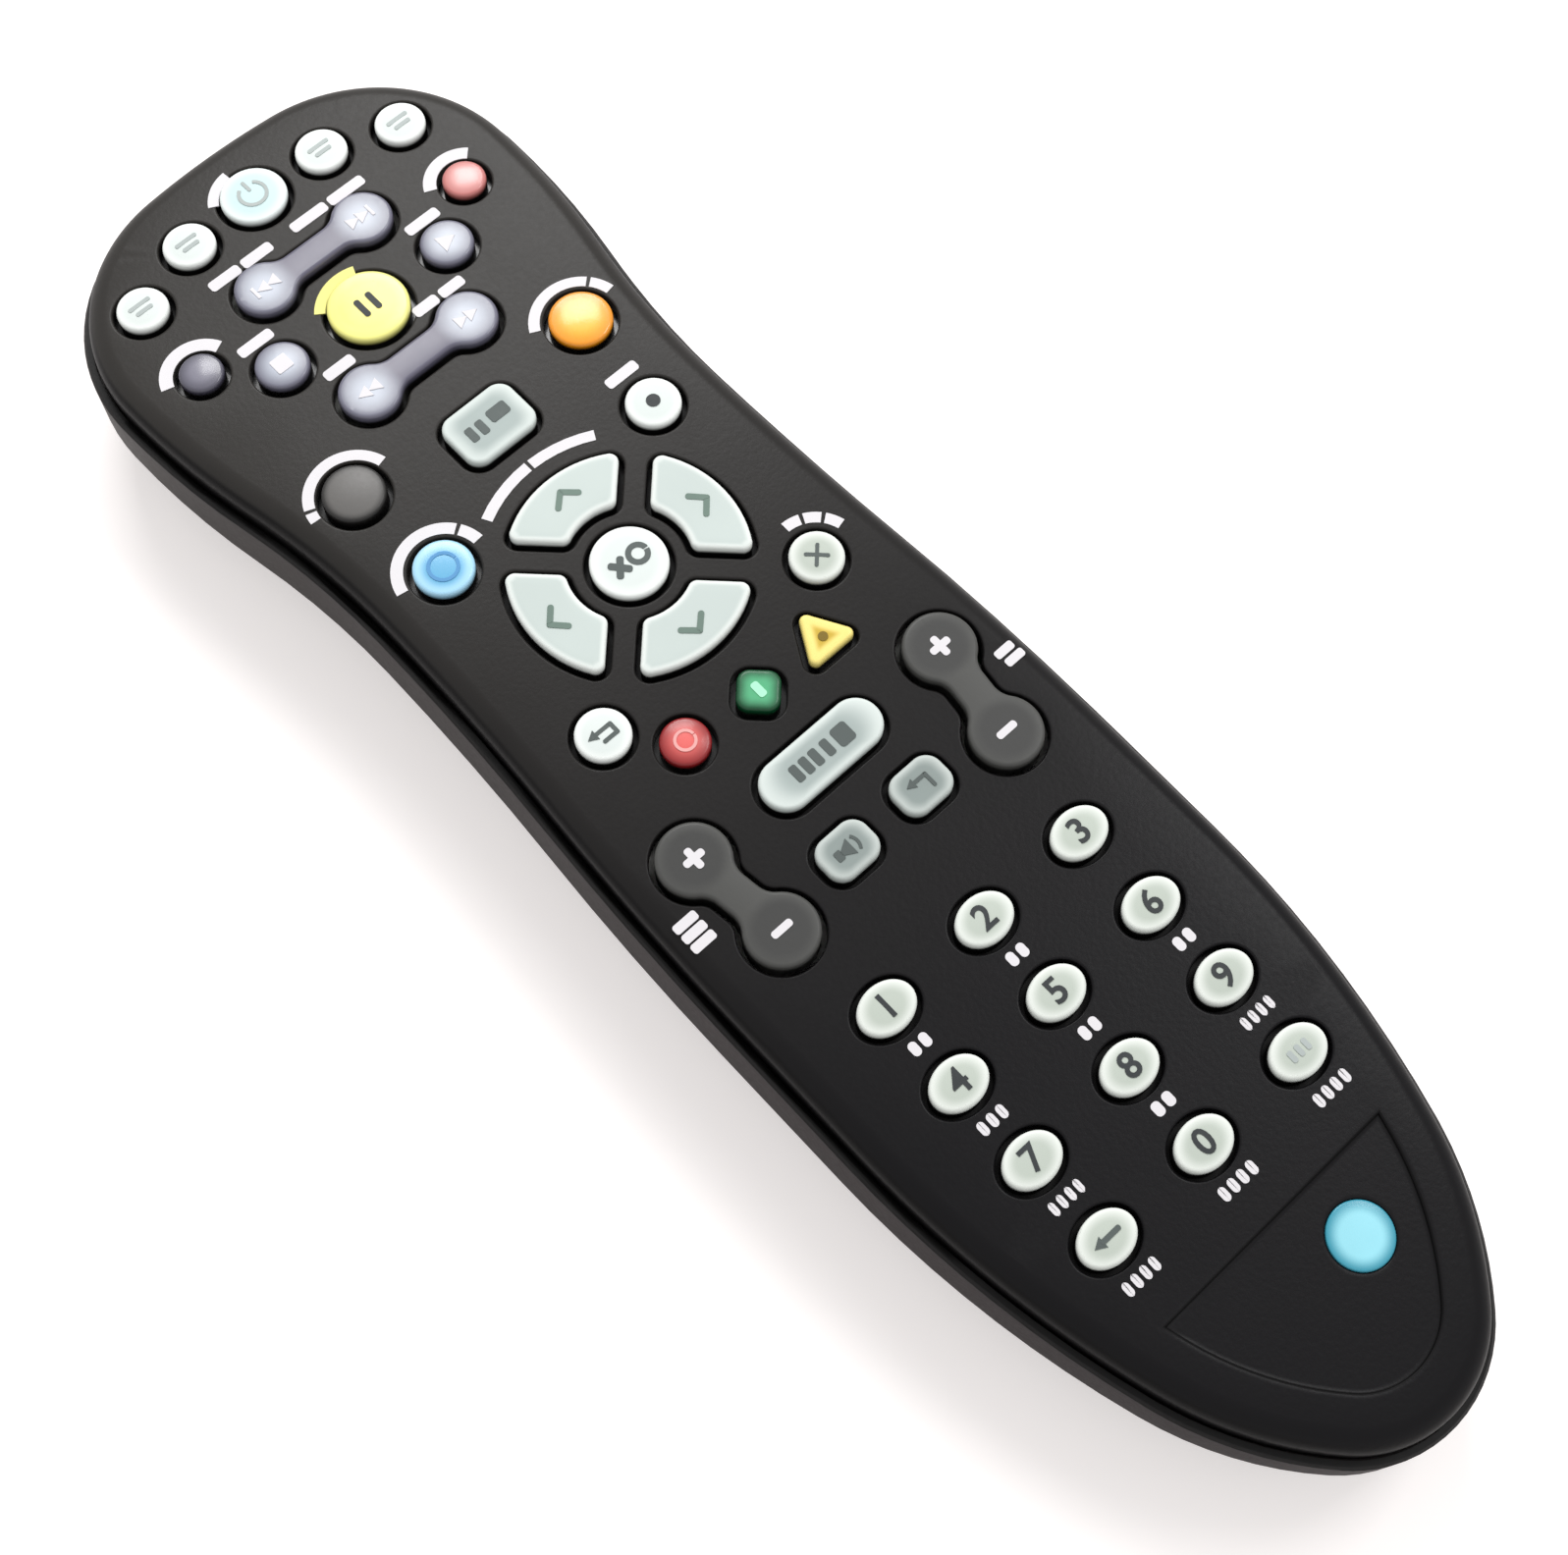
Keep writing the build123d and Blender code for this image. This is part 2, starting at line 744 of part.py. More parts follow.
# Battery cover: a flush plate with two tongues at the tail, a latch finger and grip grooves
with BuildPart() as battery_cover:
    with BuildSketch():
        add(cover_outline(0))
    extrude(amount=cover_thickness)
    with BuildSketch(Plane.XY.offset(cover_thickness)):
        with Locations(*tongue_places):
            Rectangle(tongue_width, tongue_thickness, align=(Align.CENTER, Align.MIN))
        with Locations((0, latch_y)):
            Rectangle(latch_width, latch_thickness, align=(Align.CENTER, Align.MAX))
    extrude(amount=cover_gap + cover_clear + tongue_thickness)
    with BuildSketch(Plane.XY.offset(recess_depth + cover_clear)):
        with Locations(*tongue_places):
            Rectangle(tongue_width, tongue_reach, align=(Align.CENTER, Align.MAX))
    extrude(amount=tongue_thickness)
    with BuildSketch(Plane.XY.offset(cover_thickness)):
        with Locations((0, latch_y)):
            Rectangle(latch_width, latch_thickness, align=(Align.CENTER, Align.MAX))
    extrude(amount=latch_height)
    with BuildSketch():
        with Locations((0, latch_y - grip_pitch * (grip_count + 1) / 2)):
            with GridLocations(0, grip_pitch, 1, grip_count):
                Rectangle(grip_width, grip_pitch / 2)
    extrude(amount=grip_depth, mode=Mode.SUBTRACT)
battery_cover.part.label = "battery_cover"
export_step(battery_cover.part, "parts/battery_cover.step")


# Batteries: one points to the head and the other to the tail
for name, side in (("battery_1", -1), ("battery_2", 1)):
    x = side * battery_spacing / 2
    flat_y = battery_y + side * battery_length / 2
    with BuildPart() as battery:
        with BuildSketch(Plane.XZ.offset(-flat_y)):
            with Locations((x, battery_axis_z)):
                Circle(battery_radius)
        extrude(amount=side * (battery_length - nub_length))
        with BuildSketch(Plane.XZ.offset(-flat_y + side * (battery_length - nub_length))):
            with Locations((x, battery_axis_z)):
                RegularPolygon(nub_radius, round_sides)
        extrude(amount=side * nub_length)
    battery.part.label = name
    export_step(battery.part, f"parts/{name}.step")


# Battery contacts: sheet strips bowed out from the ends of the bay to the cells
def contact_strip(x, width, end_y, side):
    """A strip with two feet on the bay's end wall and a flat crest against the cell."""
    foot = contact_sheet / 2
    crest = contact_room - foot
    low = battery_axis_z - contact_height / 2
    high = battery_axis_z + contact_height / 2
    with BuildPart() as strip:
        with BuildSketch(Plane.YZ.offset(x)):
            with BuildLine():
                path = Polyline(
                    (end_y + side * foot, low),
                    (end_y + side * foot, low + contact_height / 6),
                    (end_y + side * crest, battery_axis_z - contact_height / 6),
                    (end_y + side * crest, battery_axis_z + contact_height / 6),
                    (end_y + side * foot, high - contact_height / 6),
                    (end_y + side * foot, high),
                )
            trace(path, line_width=contact_sheet)
        extrude(amount=width / 2, both=True)
    return strip.part


bay_head_y = battery_y + bay_length / 2
bay_tail_y = battery_y - bay_length / 2
contacts = {
    "contact_plus": (-battery_spacing / 2, contact_width, bay_head_y, -1),
    "contact_minus": (battery_spacing / 2, contact_width, bay_head_y, -1),
    "contact_bridge": (0, battery_spacing + contact_width, bay_tail_y, 1),
}
for name, (x, width, end_y, side) in contacts.items():
    with BuildPart() as contact:
        add(contact_strip(x, width, end_y, side))
    contact.part.label = name
    export_step(contact.part, f"parts/{name}.step")


# Circuit board with the parts that hang under it
def board_face(inset):
    """The board from above, or a sheet that is drawn in from its edge."""
    with BuildSketch() as face:
        add(plan_outline(board_inset + inset))
        with Locations((0, board_tail_y + inset)):
            Rectangle(head_width, length, align=(Align.CENTER, Align.MIN), mode=Mode.INTERSECT)
        with Locations(*screw_places):
            RegularPolygon(post_radius + post_clearance, screw_sides, mode=Mode.SUBTRACT)
    return face.sketch


with BuildPart() as circuit_board:
    with BuildSketch(Plane.XY.offset(board_z)):
        add(board_face(0))
    extrude(amount=board_thickness)
circuit_board.part.label = "circuit_board"
export_step(circuit_board.part, "parts/circuit_board.step")

with BuildPart() as main_chip:
    with BuildSketch(Plane.XY.offset(board_z)):
        with Locations((0, chip_y)):
            Rectangle(chip_size, chip_size)
    extrude(amount=-chip_thickness)
main_chip.part.label = "main_chip"
export_step(main_chip.part, "parts/main_chip.step")

with BuildPart() as crystal_can:
    with BuildSketch(Plane.XY.offset(board_z)):
        with Locations((0, crystal_y)):
            SlotOverall(crystal_length, crystal_width)
    extrude(amount=-crystal_height)
crystal_can.part.label = "crystal_can"
export_step(crystal_can.part, "parts/crystal_can.step")

# Infrared lamp: a round body behind the window, on two bent leads from the board
with BuildPart() as infrared_lamp:
    with BuildSketch(Plane.XZ.offset(-lamp_tip_y)):
        with Locations((0, lamp_z)):
            RegularPolygon(lamp_radius, round_sides)
    extrude(amount=lamp_length)
    chamfer(infrared_lamp.faces().sort_by(Axis.Y)[-1].edges(), lamp_radius / 3)
    lamp_back_y = lamp_tip_y - lamp_length
    for x in (-lead_spacing / 2, lead_spacing / 2):
        with BuildSketch(Plane.YZ.offset(x)):
            with BuildLine():
                lead = Polyline(
                    (lamp_back_y, lamp_z),
                    (lamp_back_y - lamp_radius, lamp_z),
                    (lamp_back_y - lamp_radius, board_z),
                )
            trace(lead, line_width=lead_size)
        extrude(amount=lead_size / 2, both=True)
infrared_lamp.part.label = "infrared_lamp"
export_step(infrared_lamp.part, "parts/infrared_lamp.step")

# Silicone mat: one sheet on the board, with a pad under every key
with BuildPart() as keypad_mat:
    with BuildSketch(Plane.XY.offset(board_top_z)):
        add(board_face(mat_inset))
    extrude(amount=mat_thickness)
    for name, (outline, flange, pads) in keys.items():
        swing = key_travel
        if name in rockers:
            spacing, radius = rockers[name][2], rockers[name][3]
            swing = (spacing / 2 + radius) * sin(radians(rocker_angle))
        pad_top_z = key_base_height(outline) - swing - pad_gap
        with BuildSketch(Plane.XY.offset(mat_top_z)):
            with Locations(*pads):
                Rectangle(pad_size, pad_size)
        extrude(amount=pad_top_z - mat_top_z)
keypad_mat.part.label = "keypad_mat"
export_step(keypad_mat.part, "parts/keypad_mat.step")

# Screws from below, through the bosses and into the posts
with BuildPart() as housing_screws:
    with BuildSketch(Plane.XY.offset(screw_seat_z - screw_head_height)):
        with Locations(*screw_places):
            RegularPolygon(screw_head_radius, screw_sides)
    extrude(amount=screw_head_height)
    with BuildSketch(Plane.XY.offset(screw_seat_z)):
        with Locations(*screw_places):
            RegularPolygon(screw_radius, screw_sides)
    extrude(amount=screw_length)
housing_screws.part.label = "housing_screws"
export_step(housing_screws.part, "parts/housing_screws.step")
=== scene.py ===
import math

import bmesh
import bpy
import numpy as np
from mathutils import Matrix, Vector
from mathutils.geometry import delaunay_2d_cdt


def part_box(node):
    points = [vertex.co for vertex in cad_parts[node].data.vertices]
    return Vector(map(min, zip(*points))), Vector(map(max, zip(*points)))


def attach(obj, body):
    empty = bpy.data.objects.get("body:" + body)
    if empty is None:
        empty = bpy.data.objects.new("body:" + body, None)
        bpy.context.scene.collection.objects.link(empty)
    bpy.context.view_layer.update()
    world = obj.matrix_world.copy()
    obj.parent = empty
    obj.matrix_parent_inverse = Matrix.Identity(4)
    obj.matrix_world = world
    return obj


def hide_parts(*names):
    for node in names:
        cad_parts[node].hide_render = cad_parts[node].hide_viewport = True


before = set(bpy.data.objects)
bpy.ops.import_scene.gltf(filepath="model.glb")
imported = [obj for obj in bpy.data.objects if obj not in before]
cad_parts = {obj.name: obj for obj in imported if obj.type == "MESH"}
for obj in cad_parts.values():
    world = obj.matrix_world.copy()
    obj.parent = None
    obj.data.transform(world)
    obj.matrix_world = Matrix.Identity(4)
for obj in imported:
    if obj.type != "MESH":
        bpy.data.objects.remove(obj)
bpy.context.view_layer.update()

# Sizes are in millimetres, and a piece's points are turned into metres when its mesh is made.
MM = 0.001

# Case, lid, the shallow panel at the tail and the badge in its seat
THICKNESS = 27.0
CROWN_RADIUS = 1540.0
HALF_LENGTH = 116.0
LID_INSET = 1.4
LID_ROLL = 3.0
LID_WALL = 1.8
LID_SKIRT = 6.3
PANEL_MARGIN = 8.0
PANEL_TOP = -85.0
PANEL_DEPTH = 0.4
# Flat frames outside and inside the panel's step, which keep its shading off the sheets
FRAME_OUT = 0.7
FRAME_IN = -0.6
SEAT_SIZE = 8.5
SEAT_DEPTH = 1.4
BADGE_SIZE = 8.4
BADGE_EDGE = 0.25
BADGE_DOME = 0.06

# Keys: heights are over the crowned face
KEY_GAP = 0.7
KEY_HEIGHT = 1.23
KEY_EDGE = 0.55
KEY_FOOT = -2.7
FLANGE_TOP = -2.15
FLANGE_WIDTH = 0.8
RING_OUTER = 15.8
RING_INNER = 8.2
RING_HALF_GAP = 2.2
NECK = 3.2

# Print: how thick its plates are, how far they stand out, and the digits' height and added weight
INK_DEPTH = 0.2
INK_RISE = 0.1
DIGIT_SIZE = 4.6
DIGIT_WEIGHT = 0.018
WORD_GAP = 0.5

# Edges that turn by more than this many degrees stay sharp
CAP_ANGLE = 50.0
PRINT_ANGLE = 30.0

# Where the case's colour darkens along its length, a painted shade for the light falling off
# towards the tail, and where a key's side goes near black with the depth under its top, a painted
# shade in its opening
TAIL_SHADE_FADE = (95.0, -60.0)
SIDE_SHADE_FADE = (0.6, 1.5)
SIDE_SHADE_COLOUR = (16, 15, 15)
# Over how far a share goes from 0 to 1: down from the lid's crown, for the painted shade on its
# rolled edge, and out to a ring key's edge, for the painted highlight on its rim
LID_SHADE = 2.0
RIM_DEPTH = 2.0
# The tub's share is 0 this far below the crown, and 1 a millimetre higher, where the tub's top
# by the seam is darkened as painted shade
TUB_SHADE = 6.5


def spin(turn):
    """What flat points are multiplied by, from the right, to turn them by so many degrees."""
    a = math.radians(turn)
    return np.array([[math.cos(a), math.sin(a)], [-math.sin(a), math.cos(a)]])


# Outlines. An arc is centre x, centre y, radius, first and last angle of its outward normal.
# A hollow arc has a negative radius, so that every arc moves outwards by the same amount.
def chain(arcs, grow=0.0, turn=0.0, finest=5.0, longest=4.0):
    """Points along arcs, each at centre + (radius + grow) * normal, then turned.

    A step is no larger than the finest, in degrees, and the longest, in millimetres.
    """
    points = []
    last = None
    for x, y, radius, start, end in arcs:
        swing = abs(end - start)
        run = abs(radius) * math.radians(swing)
        count = max(1, math.ceil(swing / finest), math.ceil(run / longest))
        angles = np.radians(np.linspace(start, end, count + 1))
        normals = np.column_stack([np.cos(angles), np.sin(angles)])
        line = np.array([x, y]) + (radius + grow) * normals
        flat = np.array([x, y]) + radius * normals
        joined = last is not None and np.allclose(flat[0], last, atol=1e-4)
        points.append(line[1:] if joined else line)
        last = flat[-1]
    loop = np.concatenate(points)
    first = np.array(arcs[0][:2]) + arcs[0][2] * np.array(
        [math.cos(math.radians(arcs[0][3])), math.sin(math.radians(arcs[0][3]))]
    )
    if np.allclose(first, last, atol=1e-4):
        loop = loop[:-1]
    return loop @ spin(turn)


def closing_arc(x, reach, radius):
    """Radius of the end arc that meets a side arc, and the normal's angle where they meet."""
    end = (x**2 + reach**2 - radius**2) / (2 * (reach - radius))
    return end, math.degrees(math.atan((end - reach) / x))


def sweep_arcs(shift, run):
    """Radius and turn of two equal arcs that carry a side inwards by the shift over the run."""
    radius = (shift**2 + run**2) / (4 * shift)
    return radius, math.degrees(math.asin(run / (2 * radius)))


def case_side():
    """The case's right side from tail to head: end arc, corner, flank, waist, shoulder, corner."""
    belly, waist, head = 31.6, 29.1, 33.9
    belly_y, belly_top, waist_y, head_y = -46.5, -25.0, 42.5, 90.0
    flank, turned, tail, corner = 150.0, 17.0, 50.0, 25.6
    a = math.radians(turned)
    tail_x = belly - flank + (flank - tail) * math.cos(a)
    tail_y = belly_y - (flank - tail) * math.sin(a)
    tail_end, tail_turn = closing_arc(tail_x, HALF_LENGTH + tail_y, tail)
    head_x = head - corner
    head_end, head_turn = closing_arc(head_x, HALF_LENGTH - head_y, corner)
    low, low_turn = sweep_arcs(belly - waist, waist_y - belly_top)
    high, high_turn = sweep_arcs(head - waist, head_y - waist_y)
    return [
        (0.0, tail_end - HALF_LENGTH, tail_end, -90.0, -tail_turn),
        (tail_x, tail_y, tail, -tail_turn, -turned),
        (belly - flank, belly_y, flank, -turned, 0.0),
        (belly - low, belly_top, low, 0.0, low_turn),
        (waist + low, waist_y, -low, low_turn, 0.0),
        (waist + high, waist_y, -high, 0.0, -high_turn),
        (head - high, head_y, high, -high_turn, 0.0),
        (head_x, head_y, corner, 0.0, head_turn),
        (0.0, HALF_LENGTH - head_end, head_end, head_turn, 90.0),
    ]


CASE = case_side()


def case_outline(grow=0.0):
    """The case from above, moved out by grow: its right side, and the same mirrored."""
    side = chain(CASE, grow, finest=3.0, longest=2.5)
    side[0, 0] = side[-1, 0] = 0.0
    return np.concatenate([side, side[-2:0:-1] * np.array([-1.0, 1.0])])


# Each of these gives the outline as a function of how far it is moved out.
def oval(width, depth, count=72):
    """An ellipse of the given width and depth, or a circle where they are equal."""
    t = np.linspace(0, 2 * np.pi, count, endpoint=False)
    ray = np.column_stack([np.cos(t), np.sin(t)])
    return lambda grow=0.0: ray * (np.array([width, depth]) / 2 + grow)


def rounded(width, depth, corner, turn=0.0):
    """A rectangle with rounded corners."""
    x, y = width / 2 - corner, depth / 2 - corner
    arcs = [(x, y, corner, 0, 90), (-x, y, corner, 90, 180), (-x, -y, corner, 180, 270),
            (x, -y, corner, 270, 360)]
    return lambda grow=0.0: chain(arcs, grow, turn)


def triangle(radius, corner):
    """An even triangle that points to the head, its rounded tips on a circle of the radius."""
    arcs = []
    for normal in (90, 210, 330):
        a = math.radians(normal)
        reach = radius - 2 * corner
        arcs.append((reach * math.cos(a), reach * math.sin(a), corner, normal - 60, normal + 60))
    return lambda grow=0.0: chain(arcs, grow)


def ring_quarter(turn, inset=0.0, corner=1.2):
    """A quarter of a band: an outer and an inner arc, with rounded corners at the gaps."""
    outer, inner = RING_OUTER - inset, RING_INNER + inset
    side = RING_HALF_GAP + inset + corner
    a1 = 45 + math.degrees(math.asin(side / (outer - corner)))
    b1 = 45 + math.degrees(math.asin(side / (inner + corner)))

    def at(reach, angle):
        """The point so far out from the ring's middle at the angle."""
        return reach * math.cos(math.radians(angle)), reach * math.sin(math.radians(angle))

    arcs = [
        (0, 0, outer, a1, 180 - a1),
        (*at(outer - corner, 180 - a1), corner, 180 - a1, 225),
        (*at(inner + corner, 180 - b1), corner, 225, 360 - b1),
        (0, 0, -inner, 360 - b1, 180 + b1),
        (*at(inner + corner, b1), corner, 180 + b1, 315),
        (*at(outer - corner, a1), corner, 315, 360 + a1),
    ]
    return lambda grow=0.0: chain(arcs, grow, turn, longest=1.2)


def rocker(spacing, radius, waist, turn):
    """Two round lobes, joined by hollow necks to a straight waist."""
    rise = waist / 2 + NECK
    x = spacing / 2 - math.sqrt((radius + NECK) ** 2 - rise**2)
    p = math.degrees(math.atan2(rise, x - spacing / 2))
    arcs = [
        (spacing / 2, 0, radius, -p, p),
        (x, rise, -NECK, p, 90),
        (-x, rise, -NECK, 90, 180 - p),
        (-spacing / 2, 0, radius, 180 - p, 180 + p),
        (-x, -rise, -NECK, 180 + p, 270),
        (x, -rise, -NECK, 270, 360 - p),
    ]
    return lambda grow=0.0: chain(arcs, grow, turn, longest=1.2)


# Ring keys and their turns, and rocker keys: spacing of the lobes, their radius, waist and turn
RING_TURNS = {"up_key": 0, "left_key": 90, "down_key": 180, "right_key": 270}
TILT = 7.5
ROCKERS = {
    "skip_rocker": (16.4, 4.2, 4.4, 0),
    "wind_rocker": (16.4, 4.2, 4.4, 0),
    "volume_rocker": (13.7, 4.8, 4.8, 90 + TILT),
    "channel_rocker": (13.7, 4.8, 4.8, 90 - TILT),
}

# Every key: its outline, its finish, and how much its top is domed
number_key = (oval(8.0, 6.2), "number", 0.15)
KEYS = {
    "power_key": (oval(9.2, 9.2), "pale", 0.25),
    "device_key_1": (oval(7.0, 7.0), "white", 0.2),
    "device_key_2": (oval(7.2, 7.2), "white", 0.2),
    "device_key_3": (oval(7.2, 7.2), "white", 0.2),
    "device_key_4": (oval(7.0, 7.0), "white", 0.2),
    "list_key": (oval(6.0, 6.0), "slate", 0.25),
    "record_key": (oval(6.0, 6.0), "rose", 0.25),
    "stop_key": (oval(7.3, 7.3), "lilac", 0.15),
    "play_key": (oval(7.3, 7.3), "lilac", 0.15),
    "pause_key": (oval(11.1, 11.1), "lemon", 0.15),
    "library_key": (oval(8.4, 8.4), "pewter", 0.3),
    "recordings_key": (oval(8.6, 8.6), "amber", 0.35),
    "guide_key": (oval(8.0, 8.0), "sky", 0.15),
    "info_key": (oval(7.4, 7.4), "white", 0.2),
    "back_key": (oval(7.2, 7.2), "white", 0.2),
    "exit_key": (oval(7.2, 7.2), "number", 0.2),
    "red_key": (oval(6.5, 6.5), "cherry", 0.25),
    "select_key": (oval(10.2, 10.2), "white", 0.2),
    **{name: (ring_quarter(turn), "porcelain", 0.0) for name, turn in RING_TURNS.items()},
    "menu_key": (rounded(11.2, 8.4, 2.2), "silver_pale", 0.0),
    "green_key": (rounded(5.6, 5.6, 1.7, 45), "emerald", 0.0),
    "yellow_key": (triangle(4.8, 0.9), "lemon_dark", 0.0),
    "source_key": (rounded(18.6, 6.9, 3.4), "silver_pale", 0.0),
    "mute_key": (rounded(7.8, 6.1, 2.3), "silver", 0.0),
    "last_key": (rounded(7.8, 6.1, 2.3), "silver", 0.0),
    "skip_rocker": (rocker(*ROCKERS["skip_rocker"]), "lilac", 0.0),
    "wind_rocker": (rocker(*ROCKERS["wind_rocker"]), "lilac", 0.0),
    "volume_rocker": (rocker(*ROCKERS["volume_rocker"]), "graphite", 0.0),
    "channel_rocker": (rocker(*ROCKERS["channel_rocker"]), "graphite", 0.0),
    **{f"key_{digit}": number_key for digit in range(10)},
    "delete_key": number_key,
    "enter_key": number_key,
}


def middle(name):
    """The middle of a node from above, in millimetres."""
    low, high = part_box(name)
    return np.array([(low[0] + high[0]) / 2, (low[1] + high[1]) / 2]) / MM


# The ring's keys turn about its middle, and a triangle's middle is below half its height.
PLACES = {name: middle(name) for name in KEYS}
RING = np.array([0.0, 26.9])
TRIANGLE_DROP = np.array([0.0, 0.75])
PLACES.update({name: RING for name in RING_TURNS})
PLACES["yellow_key"] = PLACES["yellow_key"] - TRIANGLE_DROP
DISC = middle("badge_disc")


def key_outline(name, grow=0.0):
    """A key's outline in its place, moved out by grow."""
    return KEYS[name][0](grow) + PLACES[name]


def crown(y):
    """Height of the crowned face: a large circle across the length, highest in the middle."""
    return THICKNESS - CROWN_RADIUS + np.sqrt(CROWN_RADIUS**2 - np.asarray(y) ** 2)


def above_case(points):
    """How far points stand above the crowned top of the case."""
    return points[:, 2] - crown(points[:, 1])


# Meshes
def keep_shares(mesh, spread, sunk=False):
    """Keeps a share for each point as the mesh's own map, for its finish to follow.

    Where a piece is sunk in an opening, as a key cap is, the map also has the point's depth, with
    which its finish paints shade down the key's side.
    """
    points = np.empty(3 * len(mesh.vertices))
    mesh.vertices.foreach_get("co", points)
    points = points.reshape(-1, 3) / MM
    depths = KEY_HEIGHT - above_case(points) if sunk else np.zeros(len(points))
    corners = np.empty(len(mesh.loops), dtype=np.int32)
    mesh.loops.foreach_get("vertex_index", corners)
    pairs = np.column_stack([spread(points), depths])[corners]
    mesh.uv_layers.new(name="spread").data.foreach_set("uv", pairs.ravel())


def make_piece(name, parts, finishes, body, smooth, stands_for=(), spread=None):
    """One mesh from (points, faces, finish number) parts, joined where their points meet.

    Where spread is given, it turns points into shares, 0 where the finish has its own colour
    and 1 where it has its rim's.
    """
    points = np.concatenate([np.asarray(part[0], float) for part in parts])
    rounded_points = np.round(points, 4)
    _, first, index = np.unique(rounded_points, axis=0, return_index=True, return_inverse=True)
    index = index.reshape(-1)
    faces, marks = [], []
    start = 0
    for part in parts:
        for face in part[1]:
            ids = [int(index[start + corner]) for corner in face]
            ids = [c for k, c in enumerate(ids) if c != ids[k - 1]]
            if len(set(ids)) > 2:
                faces.append(ids)
                marks.append(part[2] if len(part) > 2 else 0)
        start += len(part[0])
    mesh = bpy.data.meshes.new(name)
    mesh.from_pydata((points[first] * MM).tolist(), [], faces)
    mesh.validate()
    if len(mesh.polygons) == len(marks):
        mesh.polygons.foreach_set("material_index", np.array(marks, dtype=np.int32))
    for finish in finishes:
        mesh.materials.append(finish)
    if spread:
        keep_shares(mesh, spread, name.endswith("_cap"))
    piece = bpy.data.objects.new(name, mesh)
    bpy.context.scene.collection.objects.link(piece)
    finish_piece(piece, body, smooth, stands_for)


def finish_piece(piece, body, smooth, stands_for):
    """Turns faces outwards, smooths all but the sharp edges, and hands the piece to its body."""
    work = bmesh.new()
    work.from_mesh(piece.data)
    bmesh.ops.recalc_face_normals(work, faces=work.faces)
    work.to_mesh(piece.data)
    work.free()
    piece.data.shade_smooth()
    piece.data.set_sharp_from_angle(angle=math.radians(smooth))
    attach(piece, body)
    if stands_for:
        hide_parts(*stands_for)


def lofted(rings):
    """Quads between closed rings of equal length, ring after ring."""
    rows, count = len(rings), len(rings[0])
    ids = np.arange(rows * count).reshape(rows, count)
    right = np.roll(ids, -1, axis=1)
    quads = np.stack([ids[:-1], right[:-1], right[1:], ids[1:]], axis=-1)
    return np.concatenate(rings), quads.reshape(-1, 4).tolist()


def closed_up(rings):
    """Parts for the side, the bottom and the top of what the rings go round."""
    ids = list(range(len(rings[0])))
    return [lofted(rings), (rings[0], [ids[::-1]]), (rings[-1], [ids])]


def raised(loop, height):
    """A flat loop lifted to a height that is a number or one value for each point."""
    return np.column_stack([loop, np.broadcast_to(height, len(loop))])


def carried(outline, profile):
    """A profile of (outward, height over the crown) carried round an outline, one ring each."""
    rings = []
    for outward, height in profile:
        loop = outline(outward)
        rings.append(raised(loop, crown(loop[:, 1]) + height))
    return rings


def quarter_round(radius, start, height, count=6):
    """Profile of a rounded edge that leaves its start upright and ends level at the height."""
    t = np.linspace(0, np.pi / 2, count + 1)
    return [(start - radius * (1 - math.cos(a)), height - radius * (1 - math.sin(a))) for a in t]


def sheet_between(outer, holes, height_of, filled=False):
    """A flat sheet inside the outer loop, cut into triangles and lifted to its height.

    It keeps clear of the holes, or, where it is filled, has points on their edges all the same.
    """
    loops = [outer] + holes
    points = np.concatenate(loops)
    faces, start = [], 0
    for loop in loops:
        faces.append(list(range(start, start + len(loop))))
        start += len(loop)
    found = delaunay_2d_cdt([Vector(p) for p in points.tolist()], [], faces, 1, 1e-5)
    flat = np.array([[v.x, v.y] for v in found[0]])
    kept = [tri for tri, homes in zip(found[2], found[5])
            if (0 in homes if filled else list(homes) == [0])]
    return raised(flat, height_of(flat)), kept


# Finishes. Clouds, grain and specks are in waves per metre, and the grain's depth is in metres.
CLOUD_SCALE = 60.0
SPECK_SCALE = 1500.0
GRAIN_DEPTH = 0.0002
ROUGH_SWING = 0.06
COAT_ROUGHNESS = 0.15


def tone(red, green, blue):
    """A colour given in screen values, as the light values that a shader works in."""
    s = np.array([red, green, blue]) / 255.0
    linear = np.where(s <= 0.04045, s / 12.92, ((s + 0.055) / 1.055) ** 2.4)
    return (*linear.tolist(), 1.0)


def new_finish(name):
    """A material with what every finish starts from: its shader and its object coordinates."""
    finish = bpy.data.materials.new(name)
    finish.use_nodes = True
    nodes, links = finish.node_tree.nodes, finish.node_tree.links
    shader = nodes["Principled BSDF"]
    place = nodes.new("ShaderNodeTexCoord").outputs["Object"]
    return finish, nodes, links, shader, place


def speckle(nodes, links, place, scale, detail=2.0):
    """Noise over the given coordinates, in waves per metre."""
    noise = nodes.new("ShaderNodeTexNoise")
    noise.inputs["Scale"].default_value = scale
    noise.inputs["Detail"].default_value = detail
    links.new(place, noise.inputs["Vector"])
    return noise.outputs["Fac"]


def cloud(nodes, links, place, base, vary):
    """The base colour, a little darker and lighter in soft clouds."""
    blend = nodes.new("ShaderNodeValToRGB")
    dark, light = blend.color_ramp.elements
    dark.position, light.position = 0.3, 0.7
    dark.color = (*(base * (1 - vary)).tolist(), 1.0)
    light.color = (*np.minimum(base * (1 + vary), 1.0).tolist(), 1.0)
    links.new(speckle(nodes, links, place, CLOUD_SCALE, 3.0), blend.inputs["Fac"])
    return blend.outputs["Color"]


def uneven(nodes, links, source, low, high, shader):
    """Roughness that goes from low to high with the source."""
    spread = nodes.new("ShaderNodeMapRange")
    spread.inputs["To Min"].default_value = low
    spread.inputs["To Max"].default_value = high
    links.new(source, spread.inputs["Value"])
    links.new(spread.outputs["Result"], shader.inputs["Roughness"])


